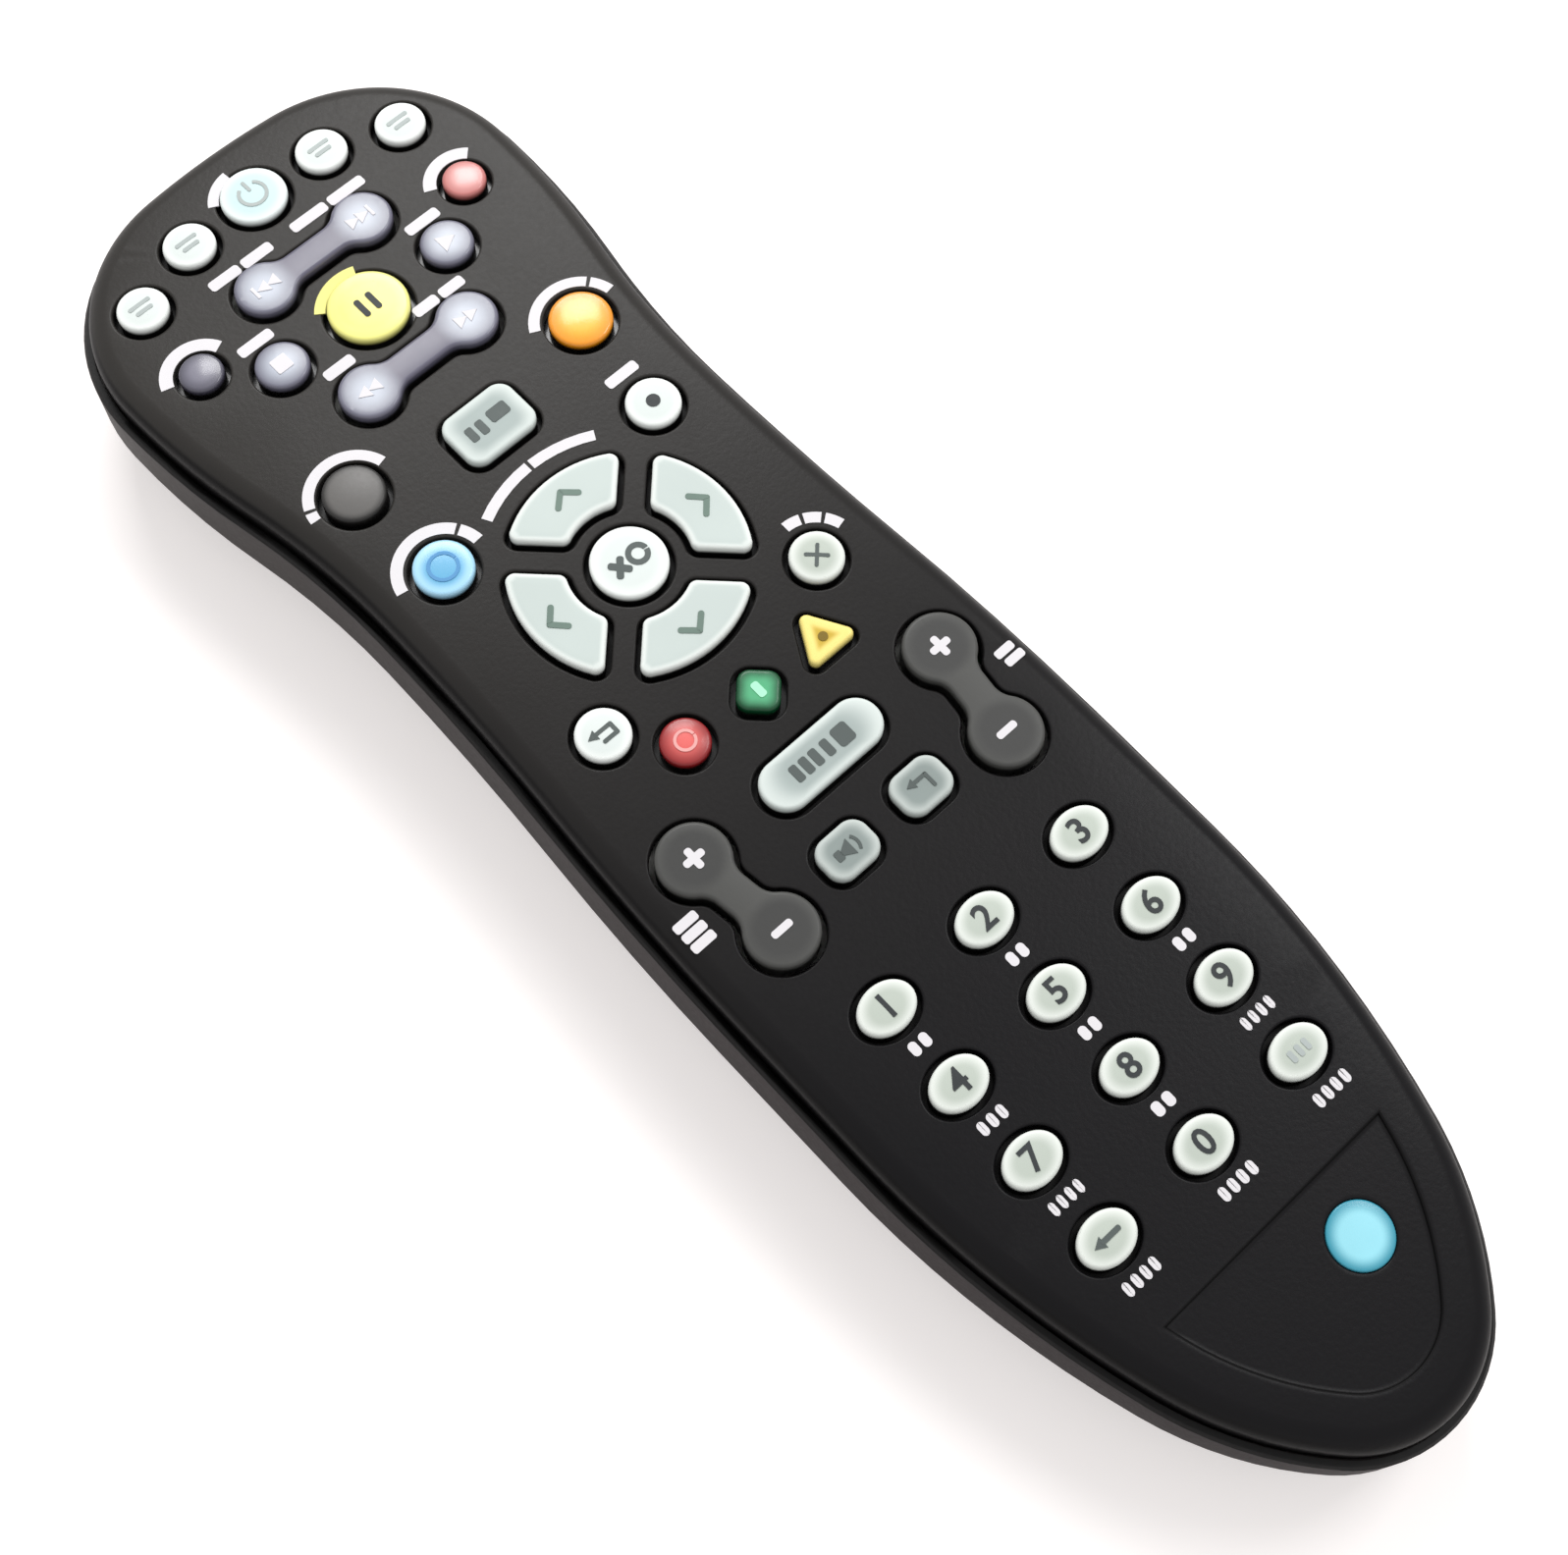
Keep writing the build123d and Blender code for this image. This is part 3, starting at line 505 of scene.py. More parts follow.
def stretch(nodes, links, source, first, last):
    """The share, 0 to 1 with soft ends, of the way that a value has gone from first to last."""
    span = nodes.new("ShaderNodeMapRange")
    span.interpolation_type = "SMOOTHSTEP"
    span.inputs["From Min"].default_value = first
    span.inputs["From Max"].default_value = last
    links.new(source, span.inputs["Value"])
    return span.outputs["Result"]


def axis(nodes, links, vector, letter):
    """One coordinate of a vector."""
    part = nodes.new("ShaderNodeSeparateXYZ")
    links.new(vector, part.inputs["Vector"])
    return part.outputs[letter]


def blend_to(nodes, links, share, near, far_colour):
    """Changes the near colour to the far one as the share goes from 0 to 1."""
    mix = nodes.new("ShaderNodeMix")
    mix.data_type = "RGBA"
    links.new(share, mix.inputs["Factor"])
    links.new(near, mix.inputs["A"])
    mix.inputs["B"].default_value = tone(*far_colour)
    return mix.outputs["Result"]


def moulded(name, colour, rough=0.35, gloss=0.5, grain=900.0, depth=0.02, vary=0.08, coat=0.0,
            rim=None, rim_start=0.35, rim_end=1.0, tail=None):
    """Moulded plastic: an even colour with a faint cloud in it, and a fine grain that dulls it.

    The depth is the strength of the grain's bump.

    The colour changes to the tail's along the length of the case, as painted shade where the light
    falls off;
    to the rim's between two shares of the piece's own map, which on the lid and the tub paints
    shade and on the keys a highlight on a light rim and shade on a dark one; and to near black
    with the depth of a key's side in its opening, as painted shade.
    """
    finish, nodes, links, shader, place = new_finish(name)
    shade = cloud(nodes, links, place, np.array(tone(*colour)[:3]), vary)
    # Painted shade: darker towards the tail, where the light falls off
    if tail:
        first, last = (y * MM for y in TAIL_SHADE_FADE)
        share = stretch(nodes, links, axis(nodes, links, place, "Y"), first, last)
        shade = blend_to(nodes, links, share, shade, tail)
    # The rim's colour is a painted highlight on a light rim and painted shade on a dark one, and
    # near black down a key's side is painted shade
    if rim:
        own_map = nodes.new("ShaderNodeUVMap")
        own_map.uv_map = "spread"
        for letter, fade, far in (("X", (rim_start, rim_end), rim), ("Y", SIDE_SHADE_FADE, SIDE_SHADE_COLOUR)):
            value = axis(nodes, links, own_map.outputs["UV"], letter)
            shade = blend_to(nodes, links, stretch(nodes, links, value, *fade), shade, far)
    links.new(shade, shader.inputs["Base Color"])
    fine = speckle(nodes, links, place, grain)
    uneven(nodes, links, fine, max(rough - ROUGH_SWING, 0.05), rough + ROUGH_SWING, shader)
    bump = nodes.new("ShaderNodeBump")
    bump.inputs["Strength"].default_value = depth
    bump.inputs["Distance"].default_value = GRAIN_DEPTH
    links.new(fine, bump.inputs["Height"])
    links.new(bump.outputs["Normal"], shader.inputs["Normal"])
    shader.inputs["Specular IOR Level"].default_value = gloss
    shader.inputs["Coat Weight"].default_value = coat
    shader.inputs["Coat Roughness"].default_value = COAT_ROUGHNESS
    return finish


def metal(name, colour, rough, drawn=(1.0, 1.0, 1.0)):
    """Bare metal: an even colour, and a roughness that changes in fine specks.

    Where it is drawn more along one axis, the specks become lines across that axis.
    """
    finish, nodes, links, shader, place = new_finish(name)
    shader.inputs["Base Color"].default_value = tone(*colour)
    shader.inputs["Metallic"].default_value = 1.0
    scaled = nodes.new("ShaderNodeMapping")
    scaled.inputs["Scale"].default_value = drawn
    links.new(place, scaled.inputs["Vector"])
    lines = speckle(nodes, links, scaled.outputs["Vector"], SPECK_SCALE)
    uneven(nodes, links, lines, rough - 0.1, rough + 0.12, shader)
    return finish


FINISHES = {
    # Painted shade on the case: its colours darken towards the tail as the light falls off, the
    # lid's rolled edge goes near black where it turns from the light, and the tub's top goes near
    # black in the seam.
    "shell": moulded("shell_charcoal", (51, 49, 47), 0.33, 0.11, 1600.0, 0.1, 0.06,
                     rim=(8, 7, 8), rim_start=0.35, rim_end=0.7, tail=(17, 16, 18)),
    "tub": moulded("tub_brown_grey", (66, 62, 61), 0.45, 0.2, 1600.0, 0.1, 0.06,
                   rim=(9, 8, 8), rim_start=0.55, tail=(40, 32, 33)),
    # A key's rim colour is painted light and shade: a rim lighter than the key is a painted
    # highlight on its rounded edge, a darker rim is painted shade, and the light middles of the
    # lilac keys are painted highlights. Down its side each key also goes near black as painted
    # shade in its opening.
    "white": moulded("key_white", (222, 229, 226), 0.45, 0.12, vary=0.02,
                     rim=(240, 243, 240), rim_start=0.6),
    "porcelain": moulded("key_porcelain", (198, 208, 204), 0.45, 0.12, vary=0.03,
                         rim=(238, 242, 238), rim_start=0.45),
    "pale": moulded("key_pale_blue", (206, 228, 229), 0.45, 0.12, vary=0.03,
                    rim=(236, 243, 241), rim_start=0.6),
    "number": moulded("key_number", (190, 198, 188), 0.45, 0.12, vary=0.03,
                      rim=(232, 236, 230), rim_start=0.5),
    "lilac": moulded("key_lilac_grey", (184, 190, 202), 0.32, 0.4, vary=0.04, coat=0.2,
                     rim=(92, 89, 106), rim_start=0.15, rim_end=1.15),
    "slate": moulded("key_slate", (118, 116, 130), 0.32, 0.5, vary=0.05, coat=0.3,
                     rim=(74, 72, 86)),
    "silver": moulded("key_silver", (142, 152, 149), 0.42, 0.15, vary=0.05,
                      rim=(196, 203, 199), rim_start=0.55),
    "silver_pale": moulded("key_silver_pale", (166, 177, 174), 0.42, 0.15, vary=0.05,
                           rim=(216, 224, 220), rim_start=0.55),
    "pewter": moulded("key_pewter", (100, 98, 96), 0.38, 0.3, 1600.0, 0.05, vary=0.05,
                      rim=(30, 29, 28), rim_start=0.7),
    "lemon": moulded("key_lemon", (236, 226, 100), 0.3, 0.4, vary=0.04, coat=0.3,
                     rim=(240, 236, 138), rim_start=0.6),
    "lemon_dark": moulded("key_lemon_deep", (204, 172, 56), 0.32, 0.3, vary=0.05, coat=0.1,
                          rim=(246, 226, 132), rim_start=0.25, rim_end=0.65),
    "amber": moulded("key_amber", (255, 190, 60), 0.28, 0.4, vary=0.06, coat=0.4,
                     rim=(236, 146, 14)),
    "sky": moulded("key_sky", (98, 174, 214), 0.3, 0.4, vary=0.05, coat=0.2,
                   rim=(168, 216, 242), rim_start=0.5, rim_end=0.85),
    "rose": moulded("key_rose", (228, 164, 160), 0.3, 0.4, vary=0.04, coat=0.3,
                    rim=(190, 112, 108)),
    "cherry": moulded("key_cherry", (226, 106, 102), 0.3, 0.3, vary=0.06, coat=0.2,
                      rim=(134, 24, 28), rim_start=0.15, rim_end=1.05),
    "emerald": moulded("key_emerald", (84, 176, 126), 0.32, 0.3, vary=0.08, coat=0.1,
                       rim=(6, 66, 36)),
    "graphite": moulded("key_graphite", (62, 62, 61), 0.4, 0.25, 1600.0, 0.05, vary=0.05,
                        rim=(76, 76, 74), rim_start=0.6),
    "disc": moulded("disc_cyan", (152, 220, 234), 0.25, 0.3, vary=0.1, coat=0.2,
                    rim=(52, 146, 168), rim_start=0.55),
    "ink_white": moulded("ink_white", (224, 221, 224), 0.5, 0.3, vary=0.02),
    "ink_dark": moulded("ink_dark", (44, 48, 50), 0.5, 0.3, vary=0.05),
    "ink_green": moulded("ink_green_grey", (104, 124, 114), 0.5, 0.3, vary=0.05),
    "ink_grey": moulded("ink_grey", (80, 88, 86), 0.5, 0.3, vary=0.05),
    "ink_faint": moulded("ink_faint", (172, 180, 178), 0.5, 0.3, vary=0.05),
    # A pale mint streak painted on the green key as its highlight, not print
    "painted_highlight_mint": moulded("painted_highlight_mint", (172, 238, 204), 0.5, 0.3, vary=0.05),
    "ink_olive": moulded("ink_olive", (120, 98, 14), 0.5, 0.3, vary=0.05),
    "ink_lemon": moulded("ink_lemon", (238, 232, 138), 0.5, 0.3, vary=0.03),
    "ink_sky": moulded("ink_sky", (86, 148, 198), 0.5, 0.3, vary=0.03),
    "seam": moulded("seam_black", (9, 8, 9), 0.5, 0.1, vary=0.1),
    "window": moulded("window_smoked", (16, 8, 10), 0.22, 0.35, depth=0.0, vary=0.05),
    "sleeve": moulded("cell_sleeve", (54, 58, 70), 0.3, 0.5, vary=0.05, coat=0.3),
    "board": moulded("board_resist", (22, 92, 52), 0.35, 0.5, 2500.0, 0.1, vary=0.15, coat=0.4),
    "chip": moulded("chip_black", (26, 26, 28), 0.6, 0.3, 2500.0, 0.15, vary=0.1),
    "resin": moulded("lamp_resin", (34, 24, 56), 0.1, 0.6, depth=0.0, vary=0.05, coat=0.8),
    "silicone": moulded("mat_silicone", (204, 204, 200), 0.6, 0.3, 700.0, 0.06, vary=0.04),
    "sheet": metal("contact_sheet", (196, 196, 192), 0.32, (1.0, 1.0, 8.0)),
    "can": metal("crystal_can", (206, 206, 204), 0.25),
    "zinc": metal("screw_zinc", (178, 178, 174), 0.35),
}


# Lid: a crowned sheet with rolled edges, and a softened opening for every key. Each profile is
# (outward, height over the crown), and those of an opening and the seat start with a flat frame.
LIP = [(KEY_GAP + 0.4, 0.0), (KEY_GAP + 0.25, 0.0), (KEY_GAP + 0.1, -0.06), (KEY_GAP + 0.02, -0.2),
       (KEY_GAP, -0.4), (KEY_GAP, -LID_WALL)]
STEP = [(0.25, 0.0), (0.12, -0.04), (0.0, -0.16), (-0.06, -PANEL_DEPTH + 0.04),
        (-0.16, -PANEL_DEPTH)]
SEAT = [(0.6, -PANEL_DEPTH), (0.25, -PANEL_DEPTH), (0.1, -PANEL_DEPTH - 0.03),
        (0.04, -PANEL_DEPTH - 0.12), (0.04, -SEAT_DEPTH)]


def tail_panel(grow=0.0):
    """The panel at the tail: the case outline drawn in, and cut off by a straight line.

    The outline's points that are kept are the same for each grow, so that its rings can join.
    """
    loop = case_outline(grow - PANEL_MARGIN)
    half = len(loop) // 2
    right = loop[: half + 1]
    kept = right[case_outline(-PANEL_MARGIN)[: half + 1, 1] < PANEL_TOP - 1.0]
    top = PANEL_TOP + grow
    corner = np.array([[np.interp(top, right[:, 1], right[:, 0]), top]])
    side = np.concatenate([kept, corner])
    return np.concatenate([side, side[:0:-1] * np.array([-1.0, 1.0])])


def lid():
    """The lid's outer sheet, its openings, its ceiling and the skirt between the two sheets."""
    inner = LID_INSET + LID_ROLL
    frames = [key_outline(name, LIP[0][0]) for name in KEYS] + [tail_panel(FRAME_OUT)]
    openings = [key_outline(name, KEY_GAP) for name in KEYS]
    parts = [
        sheet_between(case_outline(-inner), frames, lambda p: crown(p[:, 1])),
        sheet_between(case_outline(-inner), openings, lambda p: crown(p[:, 1]) - LID_WALL),
    ]
    for name in KEYS:
        parts.append(lofted(carried(lambda g, n=name: key_outline(n, g), LIP)))
    parts.append((*lofted(carried(tail_panel, STEP)), 1))
    parts.append(lofted(carried(tail_panel, [(FRAME_OUT, 0.0), STEP[0]])))
    parts.append(lofted(carried(tail_panel, [STEP[-1], (FRAME_IN, -PANEL_DEPTH)])))
    disc = oval(SEAT_SIZE, SEAT_SIZE)
    seat = carried(lambda g: disc(g) + DISC, SEAT)
    parts.append(lofted(seat))
    parts.append((seat[-1], [list(range(len(seat[-1])))]))
    parts.append(sheet_between(tail_panel(FRAME_IN), [disc(SEAT[0][0]) + DISC],
                               lambda p: crown(p[:, 1]) - PANEL_DEPTH))
    roll = [(outward - LID_INSET, height) for outward, height in
            quarter_round(LID_ROLL, 0.0, 0.0, 8)]
    wall = LID_INSET + LID_WALL
    profile = [(-inner, -LID_WALL), (-wall - 0.4, -LID_WALL - 0.4), (-wall, -LID_ROLL),
               (-wall, -LID_SKIRT), (-LID_INSET, -LID_SKIRT)] + roll
    parts.append(lofted(carried(case_outline, profile)))
    # Its share, the depth below the crown, darkens the rolled edge as painted shade.
    make_piece("lid", parts, [FINISHES["shell"], FINISHES["seam"]], "case", CAP_ANGLE,
               ["upper_housing"], lambda points: -above_case(points) / LID_SHADE)


def badge():
    """The round badge in the tail panel: a side, a rounded edge and a very low dome."""
    low, high = (corner[2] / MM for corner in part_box("badge_disc"))
    disc = oval(BADGE_SIZE, BADGE_SIZE)
    rise = high - crown(DISC[1]) - BADGE_DOME
    edge = quarter_round(BADGE_EDGE, 0.0, rise, 5)
    rings = carried(lambda g: disc(g) + DISC, [(0.0, low - crown(DISC[1]))] + edge)
    for share in (0.8, 0.6, 0.4, 0.2):
        loop = disc(-BADGE_EDGE) * share + DISC
        rings.append(raised(loop, crown(loop[:, 1]) + rise + BADGE_DOME * (1 - share**2)))
    make_piece("badge", closed_up(rings), [FINISHES["disc"]], "case", CAP_ANGLE, ["badge_disc"],
               lambda points: np.hypot(*(points[:, :2] - DISC).T) / (BADGE_SIZE / 2))


lid()
badge()


# Keys
def lobe_middles(name):
    """The middles of a rocker's two lobes, seen from its own middle."""
    spacing, _, _, turn = ROCKERS[name]
    a = math.radians(turn)
    lobe = np.array([math.cos(a), math.sin(a)]) * spacing / 2
    return [lobe, -lobe]


def rim_share(name, points):
    """How far points lie from the middle of a key, or of its nearest lobe, to its edge.

    A ring key has no middle of its own, so there the share falls from 1 with the depth inside.
    """
    flat = points[:, :2] - PLACES[name]
    if name in ROCKERS:
        radius = ROCKERS[name][1]
        return np.minimum(*[np.hypot(*(flat - lobe).T) for lobe in lobe_middles(name)]) / radius
    edge = KEYS[name][0](0.0)
    if name in RING_TURNS:
        gaps = np.hypot(*(flat[:, None] - edge[None]).transpose(2, 0, 1)).min(axis=1)
        return 1.0 - gaps / RIM_DEPTH
    reach = np.interp(np.arctan2(flat[:, 1], flat[:, 0]), np.arctan2(edge[:, 1], edge[:, 0]),
                      np.hypot(*edge.T), period=2 * np.pi)
    return np.hypot(*flat.T) / reach


def inner_loops(name):
    """Loops inside the top of a ring key or a rocker, so that its finish can change there."""
    if name in RING_TURNS:
        return [ring_quarter(RING_TURNS[name], 1.7, 0.4)() + PLACES[name]]
    radius = ROCKERS[name][1]
    return [oval(2 * radius * share, 2 * radius * share, 24)() + lobe + PLACES[name]
            for lobe in lobe_middles(name) for share in (0.7, 0.4, 0.12)]


def key_cap(name):
    """A cap: its flange and side, a rounded rim, and rings that rise to a low dome or a flat.

    The ends of a rocker have no flange, because they would meet the lid as it tilts.
    """
    outline, finish, dome = KEYS[name]
    place = PLACES[name]
    base = KEY_HEIGHT - dome
    foot = [(FLANGE_WIDTH, KEY_FOOT), (FLANGE_WIDTH, FLANGE_TOP), (0.0, FLANGE_TOP)]
    if name in ROCKERS:
        foot = [(0.0, KEY_FOOT)]
    profile = foot + quarter_round(KEY_EDGE, 0.0, base)
    rings = carried(lambda g: outline(g) + place, profile)
    top = outline(-KEY_EDGE) + place
    if name in ROCKERS or name in RING_TURNS:
        sheet = sheet_between(top, inner_loops(name), lambda p: crown(p[:, 1]) + base, True)
        parts = [sheet] + closed_up(rings)[:2]
    else:
        for share in (0.85, 0.68, 0.5, 0.3, 0.12):
            loop = place + (top - place) * share
            rings.append(raised(loop, crown(loop[:, 1]) + base + dome * (1 - share**2)))
        parts = closed_up(rings)
    # The rim share places the painted highlight on a light rim and the painted shade on a dark
    # one, and the depth the painted shade down the key's side.
    make_piece(f"{name}_cap", parts, [FINISHES[finish]], name, CAP_ANGLE, [name],
               lambda points: rim_share(name, points))


for name in KEYS:
    key_cap(name)


# Print on the keys and the case: thin plates that lie on the surface under them
def key_top(name, points):
    """Height of a key's top at flat points: the crown, the key's height and its low dome."""
    outline, _, dome = KEYS[name]
    reach = np.max(np.abs(outline(-KEY_EDGE)), axis=0)
    away = np.clip(np.sum(((points - PLACES[name]) / reach) ** 2, axis=1), 0, 1) if dome else 1.0
    return crown(points[:, 1]) + KEY_HEIGHT - dome * away


def plate(loop, height_of):
    """A thin plate with the loop as its edge, its top just over the surface."""
    top = height_of(loop) + INK_RISE
    return closed_up([raised(loop, top - INK_DEPTH), raised(loop, top)])


def bar(width, depth, place=(0, 0), turn=0.0, corner=None):
    """A bar whose ends are nearly round where no corner is given."""
    corner = min(width, depth) * 0.42 if corner is None else corner
    return rounded(width, depth, corner)() @ spin(turn) + np.array(place)


def band(radius, width, start, end, place=(0, 0)):
    """A stroke that follows an arc, from the start angle to the end angle."""
    t = np.radians(np.linspace(start, end, max(3, int(abs(end - start) / 6) + 2)))
    ray = np.column_stack([np.cos(t), np.sin(t)])
    loop = np.concatenate([ray * (radius + width / 2), ray[::-1] * (radius - width / 2)])
    return loop + np.array(place)


def stroke(points, width):
    """Bars along a bent line, one for each straight run of it."""
    bars = []
    for (x1, y1), (x2, y2) in zip(points[:-1], points[1:]):
        run = math.hypot(x2 - x1, y2 - y1)
        turn = math.degrees(math.atan2(y2 - y1, x2 - x1))
        bars.append(bar(run + width, width, ((x1 + x2) / 2, (y1 + y2) / 2), turn, width * 0.49))
    return bars


def pointer(x, size, way):
    """A solid triangle that points right for way 1 and left for way -1."""
    loop = np.array([(-0.42, -0.5), (0.45, 0.0), (-0.42, 0.5)]) * size * np.array([way, 1.0])
    return (loop if way > 0 else loop[::-1]) + np.array([x, 0.0])


def words(text, size, place, height_of, name):
    """Digits from the plain built-in face, made a mesh and laid on the surface."""
    curve = bpy.data.curves.new(name, "FONT")
    curve.body = text
    curve.size = size
    curve.align_x = "CENTER"
    curve.align_y = "CENTER"
    curve.extrude = INK_DEPTH / 2
    curve.offset = size * DIGIT_WEIGHT
    curve.resolution_u = 4
    holder = bpy.data.objects.new(name, curve)
    bpy.context.scene.collection.objects.link(holder)
    bpy.context.view_layer.update()
    mesh = bpy.data.meshes.new_from_object(holder)
    points = np.empty(len(mesh.vertices) * 3)
    mesh.vertices.foreach_get("co", points)
    points = points.reshape(-1, 3)
    flat = points[:, :2] + np.array(place)
    lifted = np.column_stack([flat, height_of(flat) + INK_RISE - INK_DEPTH / 2 + points[:, 2]])
    faces = [list(polygon.vertices) for polygon in mesh.polygons]
    bpy.data.objects.remove(holder)
    return lifted, faces


def print_piece(name, loops, height_of, finish, body, extra=()):
    """One piece of print: a plate for each loop, and any ready parts."""
    parts = [part for loop in loops for part in plate(loop, height_of)] + list(extra)
    make_piece(name, parts, [FINISHES[finish]], body, PRINT_ANGLE)


def key_print(name, loops, finish, extra=()):
    """Print on a key, from loops about the key's own middle."""
    moved = [loop + PLACES[name] for loop in loops]
    print_piece(f"{name}_print", moved, lambda p: key_top(name, p), finish, name, extra)


# Glyphs, in millimetres about the middle of their key
for digit in range(10):
    key = f"key_{digit}"
    text = words(str(digit), DIGIT_SIZE, PLACES[key], lambda p: key_top(key, p), f"digit_{digit}")
    key_print(key, [], "ink_dark", [text])

key_print("pause_key", [bar(0.85, 3.1, (x, 0)) for x in (-0.95, 0.95)], "ink_dark")
key_print("power_key", [band(1.9, 0.5, 125, 415), bar(0.5, 2.0, (0, 1.5))], "ink_faint")
key_print("stop_key", [bar(2.4, 2.4, corner=0.25)], "ink_white")
key_print("play_key", [pointer(0.15, 2.8, 1)], "ink_white")
for number in range(1, 5):
    two_bars = [bar(3.4, 0.6, (0, 0.6)), bar(2.6, 0.6, (0, -0.6))]
    key_print(f"device_key_{number}", two_bars, "ink_faint")
arrow = stroke([(-1.7, 11.6), (0, 13.2), (1.7, 11.6)], 0.8)
for name, turn in RING_TURNS.items():
    key_print(name, [loop @ spin(turn) for loop in arrow], "ink_green")
key_print("select_key", [band(1.25, 0.75, 0, 350) + np.array([1.5, 0.0])]
          + [bar(3.2, 0.95, (-1.5, 0), turn=turn) for turn in (50, -50)], "ink_grey")
key_print("menu_key", [bar(3.0, 2.0, (1.9, 0.4), corner=0.4)]
          + [bar(1.1, 2.3, (x, 0), corner=0.3) for x in (-2.8, -1.1)], "ink_grey")
key_print("info_key", [oval(1.9, 1.9, 24)()], "ink_dark")
key_print("guide_key", [band(1.9, 0.45, 0, 354)], "ink_sky")
key_print("back_key", stroke([(-1.3, 0.4), (1.5, 0.4), (1.5, -1.0), (-0.5, -1.0)], 0.55)
          + [pointer(-1.4, 1.5, -1) + np.array([0, 0.4])], "ink_grey")
cross = stroke([(-1.0, -1.0), (1.0, 1.0)], 0.5) + stroke([(-1.0, 1.0), (1.0, -1.0)], 0.5)
key_print("exit_key", cross, "ink_grey")
key_print("red_key", [band(1.3, 0.4, 0, 354)], "rose")
# The green key's mint bar is a painted highlight along its top, not a glyph
key_print("green_key", [bar(1.1, 2.3, corner=0.4)], "painted_highlight_mint")
key_print("yellow_key", [oval(1.3, 1.3, 20)()], "ink_olive")
key_print("source_key", [bar(2.4, 2.8, (3.6, 0), corner=0.5)]
          + [bar(1.1, 2.4, (x, 0), corner=0.3) for x in (-4.1, -2.5, -0.9, 1.0)], "ink_grey")
key_print("mute_key", [bar(1.0, 1.4, (-1.4, 0), corner=0.2), pointer(-0.4, 2.4, -1)]
          + [band(1.6, 0.4, -40, 40)], "ink_grey")
key_print("last_key", stroke([(1.2, -1.1), (1.2, 0.7), (-1.1, 0.7)], 0.5)
          + [pointer(-1.2, 1.4, -1) + np.array([0, 0.7])], "ink_grey")
key_print("enter_key", [bar(0.7, 1.6, (x, 0)) for x in (-1.2, 0, 1.2)], "ink_faint")
key_print("delete_key", [bar(3.0, 0.7, (0.5, 0)), pointer(-1.4, 1.6, -1)], "ink_grey")
for name, inner, outer in (("skip_rocker", 6.9, 8.5), ("wind_rocker", 7.4, 9.1)):
    arrows = [pointer(way * x, 2.0, way) for way in (-1, 1) for x in (inner, outer)]
    stops = [bar(0.45, 2.0, (way * 9.7, 0), corner=0.1) for way in (-1, 1)]
    key_print(name, arrows + (stops if name == "skip_rocker" else []), "ink_white")
for name in ("volume_rocker", "channel_rocker"):
    upper, lower = lobe_middles(name)
    signs = [bar(3.1, 1.0, upper), bar(1.0, 3.1, upper), bar(3.1, 1.0, lower)]
    key_print(name, signs, "ink_white")


def curved_words(radius, width, start, end, place, count):
    """Bands along an arc over a key, one for each word that would stand there."""
    edges = np.linspace(start, end, count + 1)
    gap = math.degrees(WORD_GAP / 2 / radius) * (1 if end > start else -1)
    return [band(radius, width, a + gap, b - gap, place) for a, b in zip(edges[:-1], edges[1:])]


def straight_words(x1, x2, y, width, count):
    """Bars in a row between two places, one for each word or letter that would stand there."""
    edges = np.linspace(x1, x2, count + 1)
    return [bar(b - a - WORD_GAP, width, ((a + b) / 2, y), corner=width * 0.3)
            for a, b in zip(edges[:-1], edges[1:])]


# Words round a key: the key, radius, width, start and end angle and count
CURVED_WORDS = [
    ("power_key", 5.55, 1.5, 154, 92, 1),
    ("list_key", 4.75, 1.8, 166, 22, 1),
    ("record_key", 4.75, 1.8, 158, 42, 1),
    ("library_key", 5.95, 1.5, 178, 160, 1),
    ("library_key", 5.95, 1.5, 160, 12, 1),
    ("recordings_key", 6.2, 1.5, 155, 40, 1),
    ("recordings_key", 6.2, 1.5, 40, 8, 1),
    ("guide_key", 6.0, 1.6, 172, 34, 1),
    ("guide_key", 6.0, 1.6, 34, 2, 1),
    ("up_key", 19.3, 1.5, 119, 61, 2),
    ("exit_key", 5.9, 1.5, 92, 12, 3),
]
# Words in a row: first and last x, y, width of the stroke and count
STRAIGHT_WORDS = [
    (-13.6, -2.8, 95.7, 1.7, 2),
    (0.2, 13.0, 95.7, 1.7, 2),
    (-17.2, -11.3, 84.8, 1.7, 1),
    (11.1, 17.0, 84.6, 1.7, 1),
    (-11.2, -6.0, 74.3, 1.7, 1),
    (3.6, 12.4, 73.9, 1.7, 2),
    (14.9, 20.5, 48.3, 1.6, 1),
    (-28.6, -24.6, -13.0, 1.3, 1),
    (-28.6, -24.6, -14.6, 1.3, 1),
    (-28.6, -24.6, -16.2, 1.3, 1),
    (25.0, 28.4, -13.5, 1.2, 1),
    (25.3, 28.7, -15.1, 1.2, 1),
]
# Letters under a number key: the width of their row and their count
LETTERS = {
    "key_1": (3.4, 2), "key_2": (3.4, 2), "key_4": (4.6, 3), "key_5": (3.4, 2), "key_6": (3.4, 2),
    "key_7": (5.4, 4), "key_8": (3.6, 2), "key_9": (5.4, 4), "delete_key": (5.8, 4),
    "key_0": (6.2, 4), "enter_key": (6.0, 4),
}
LETTER_DROP = 5.7
LETTER_HEIGHT = 1.9

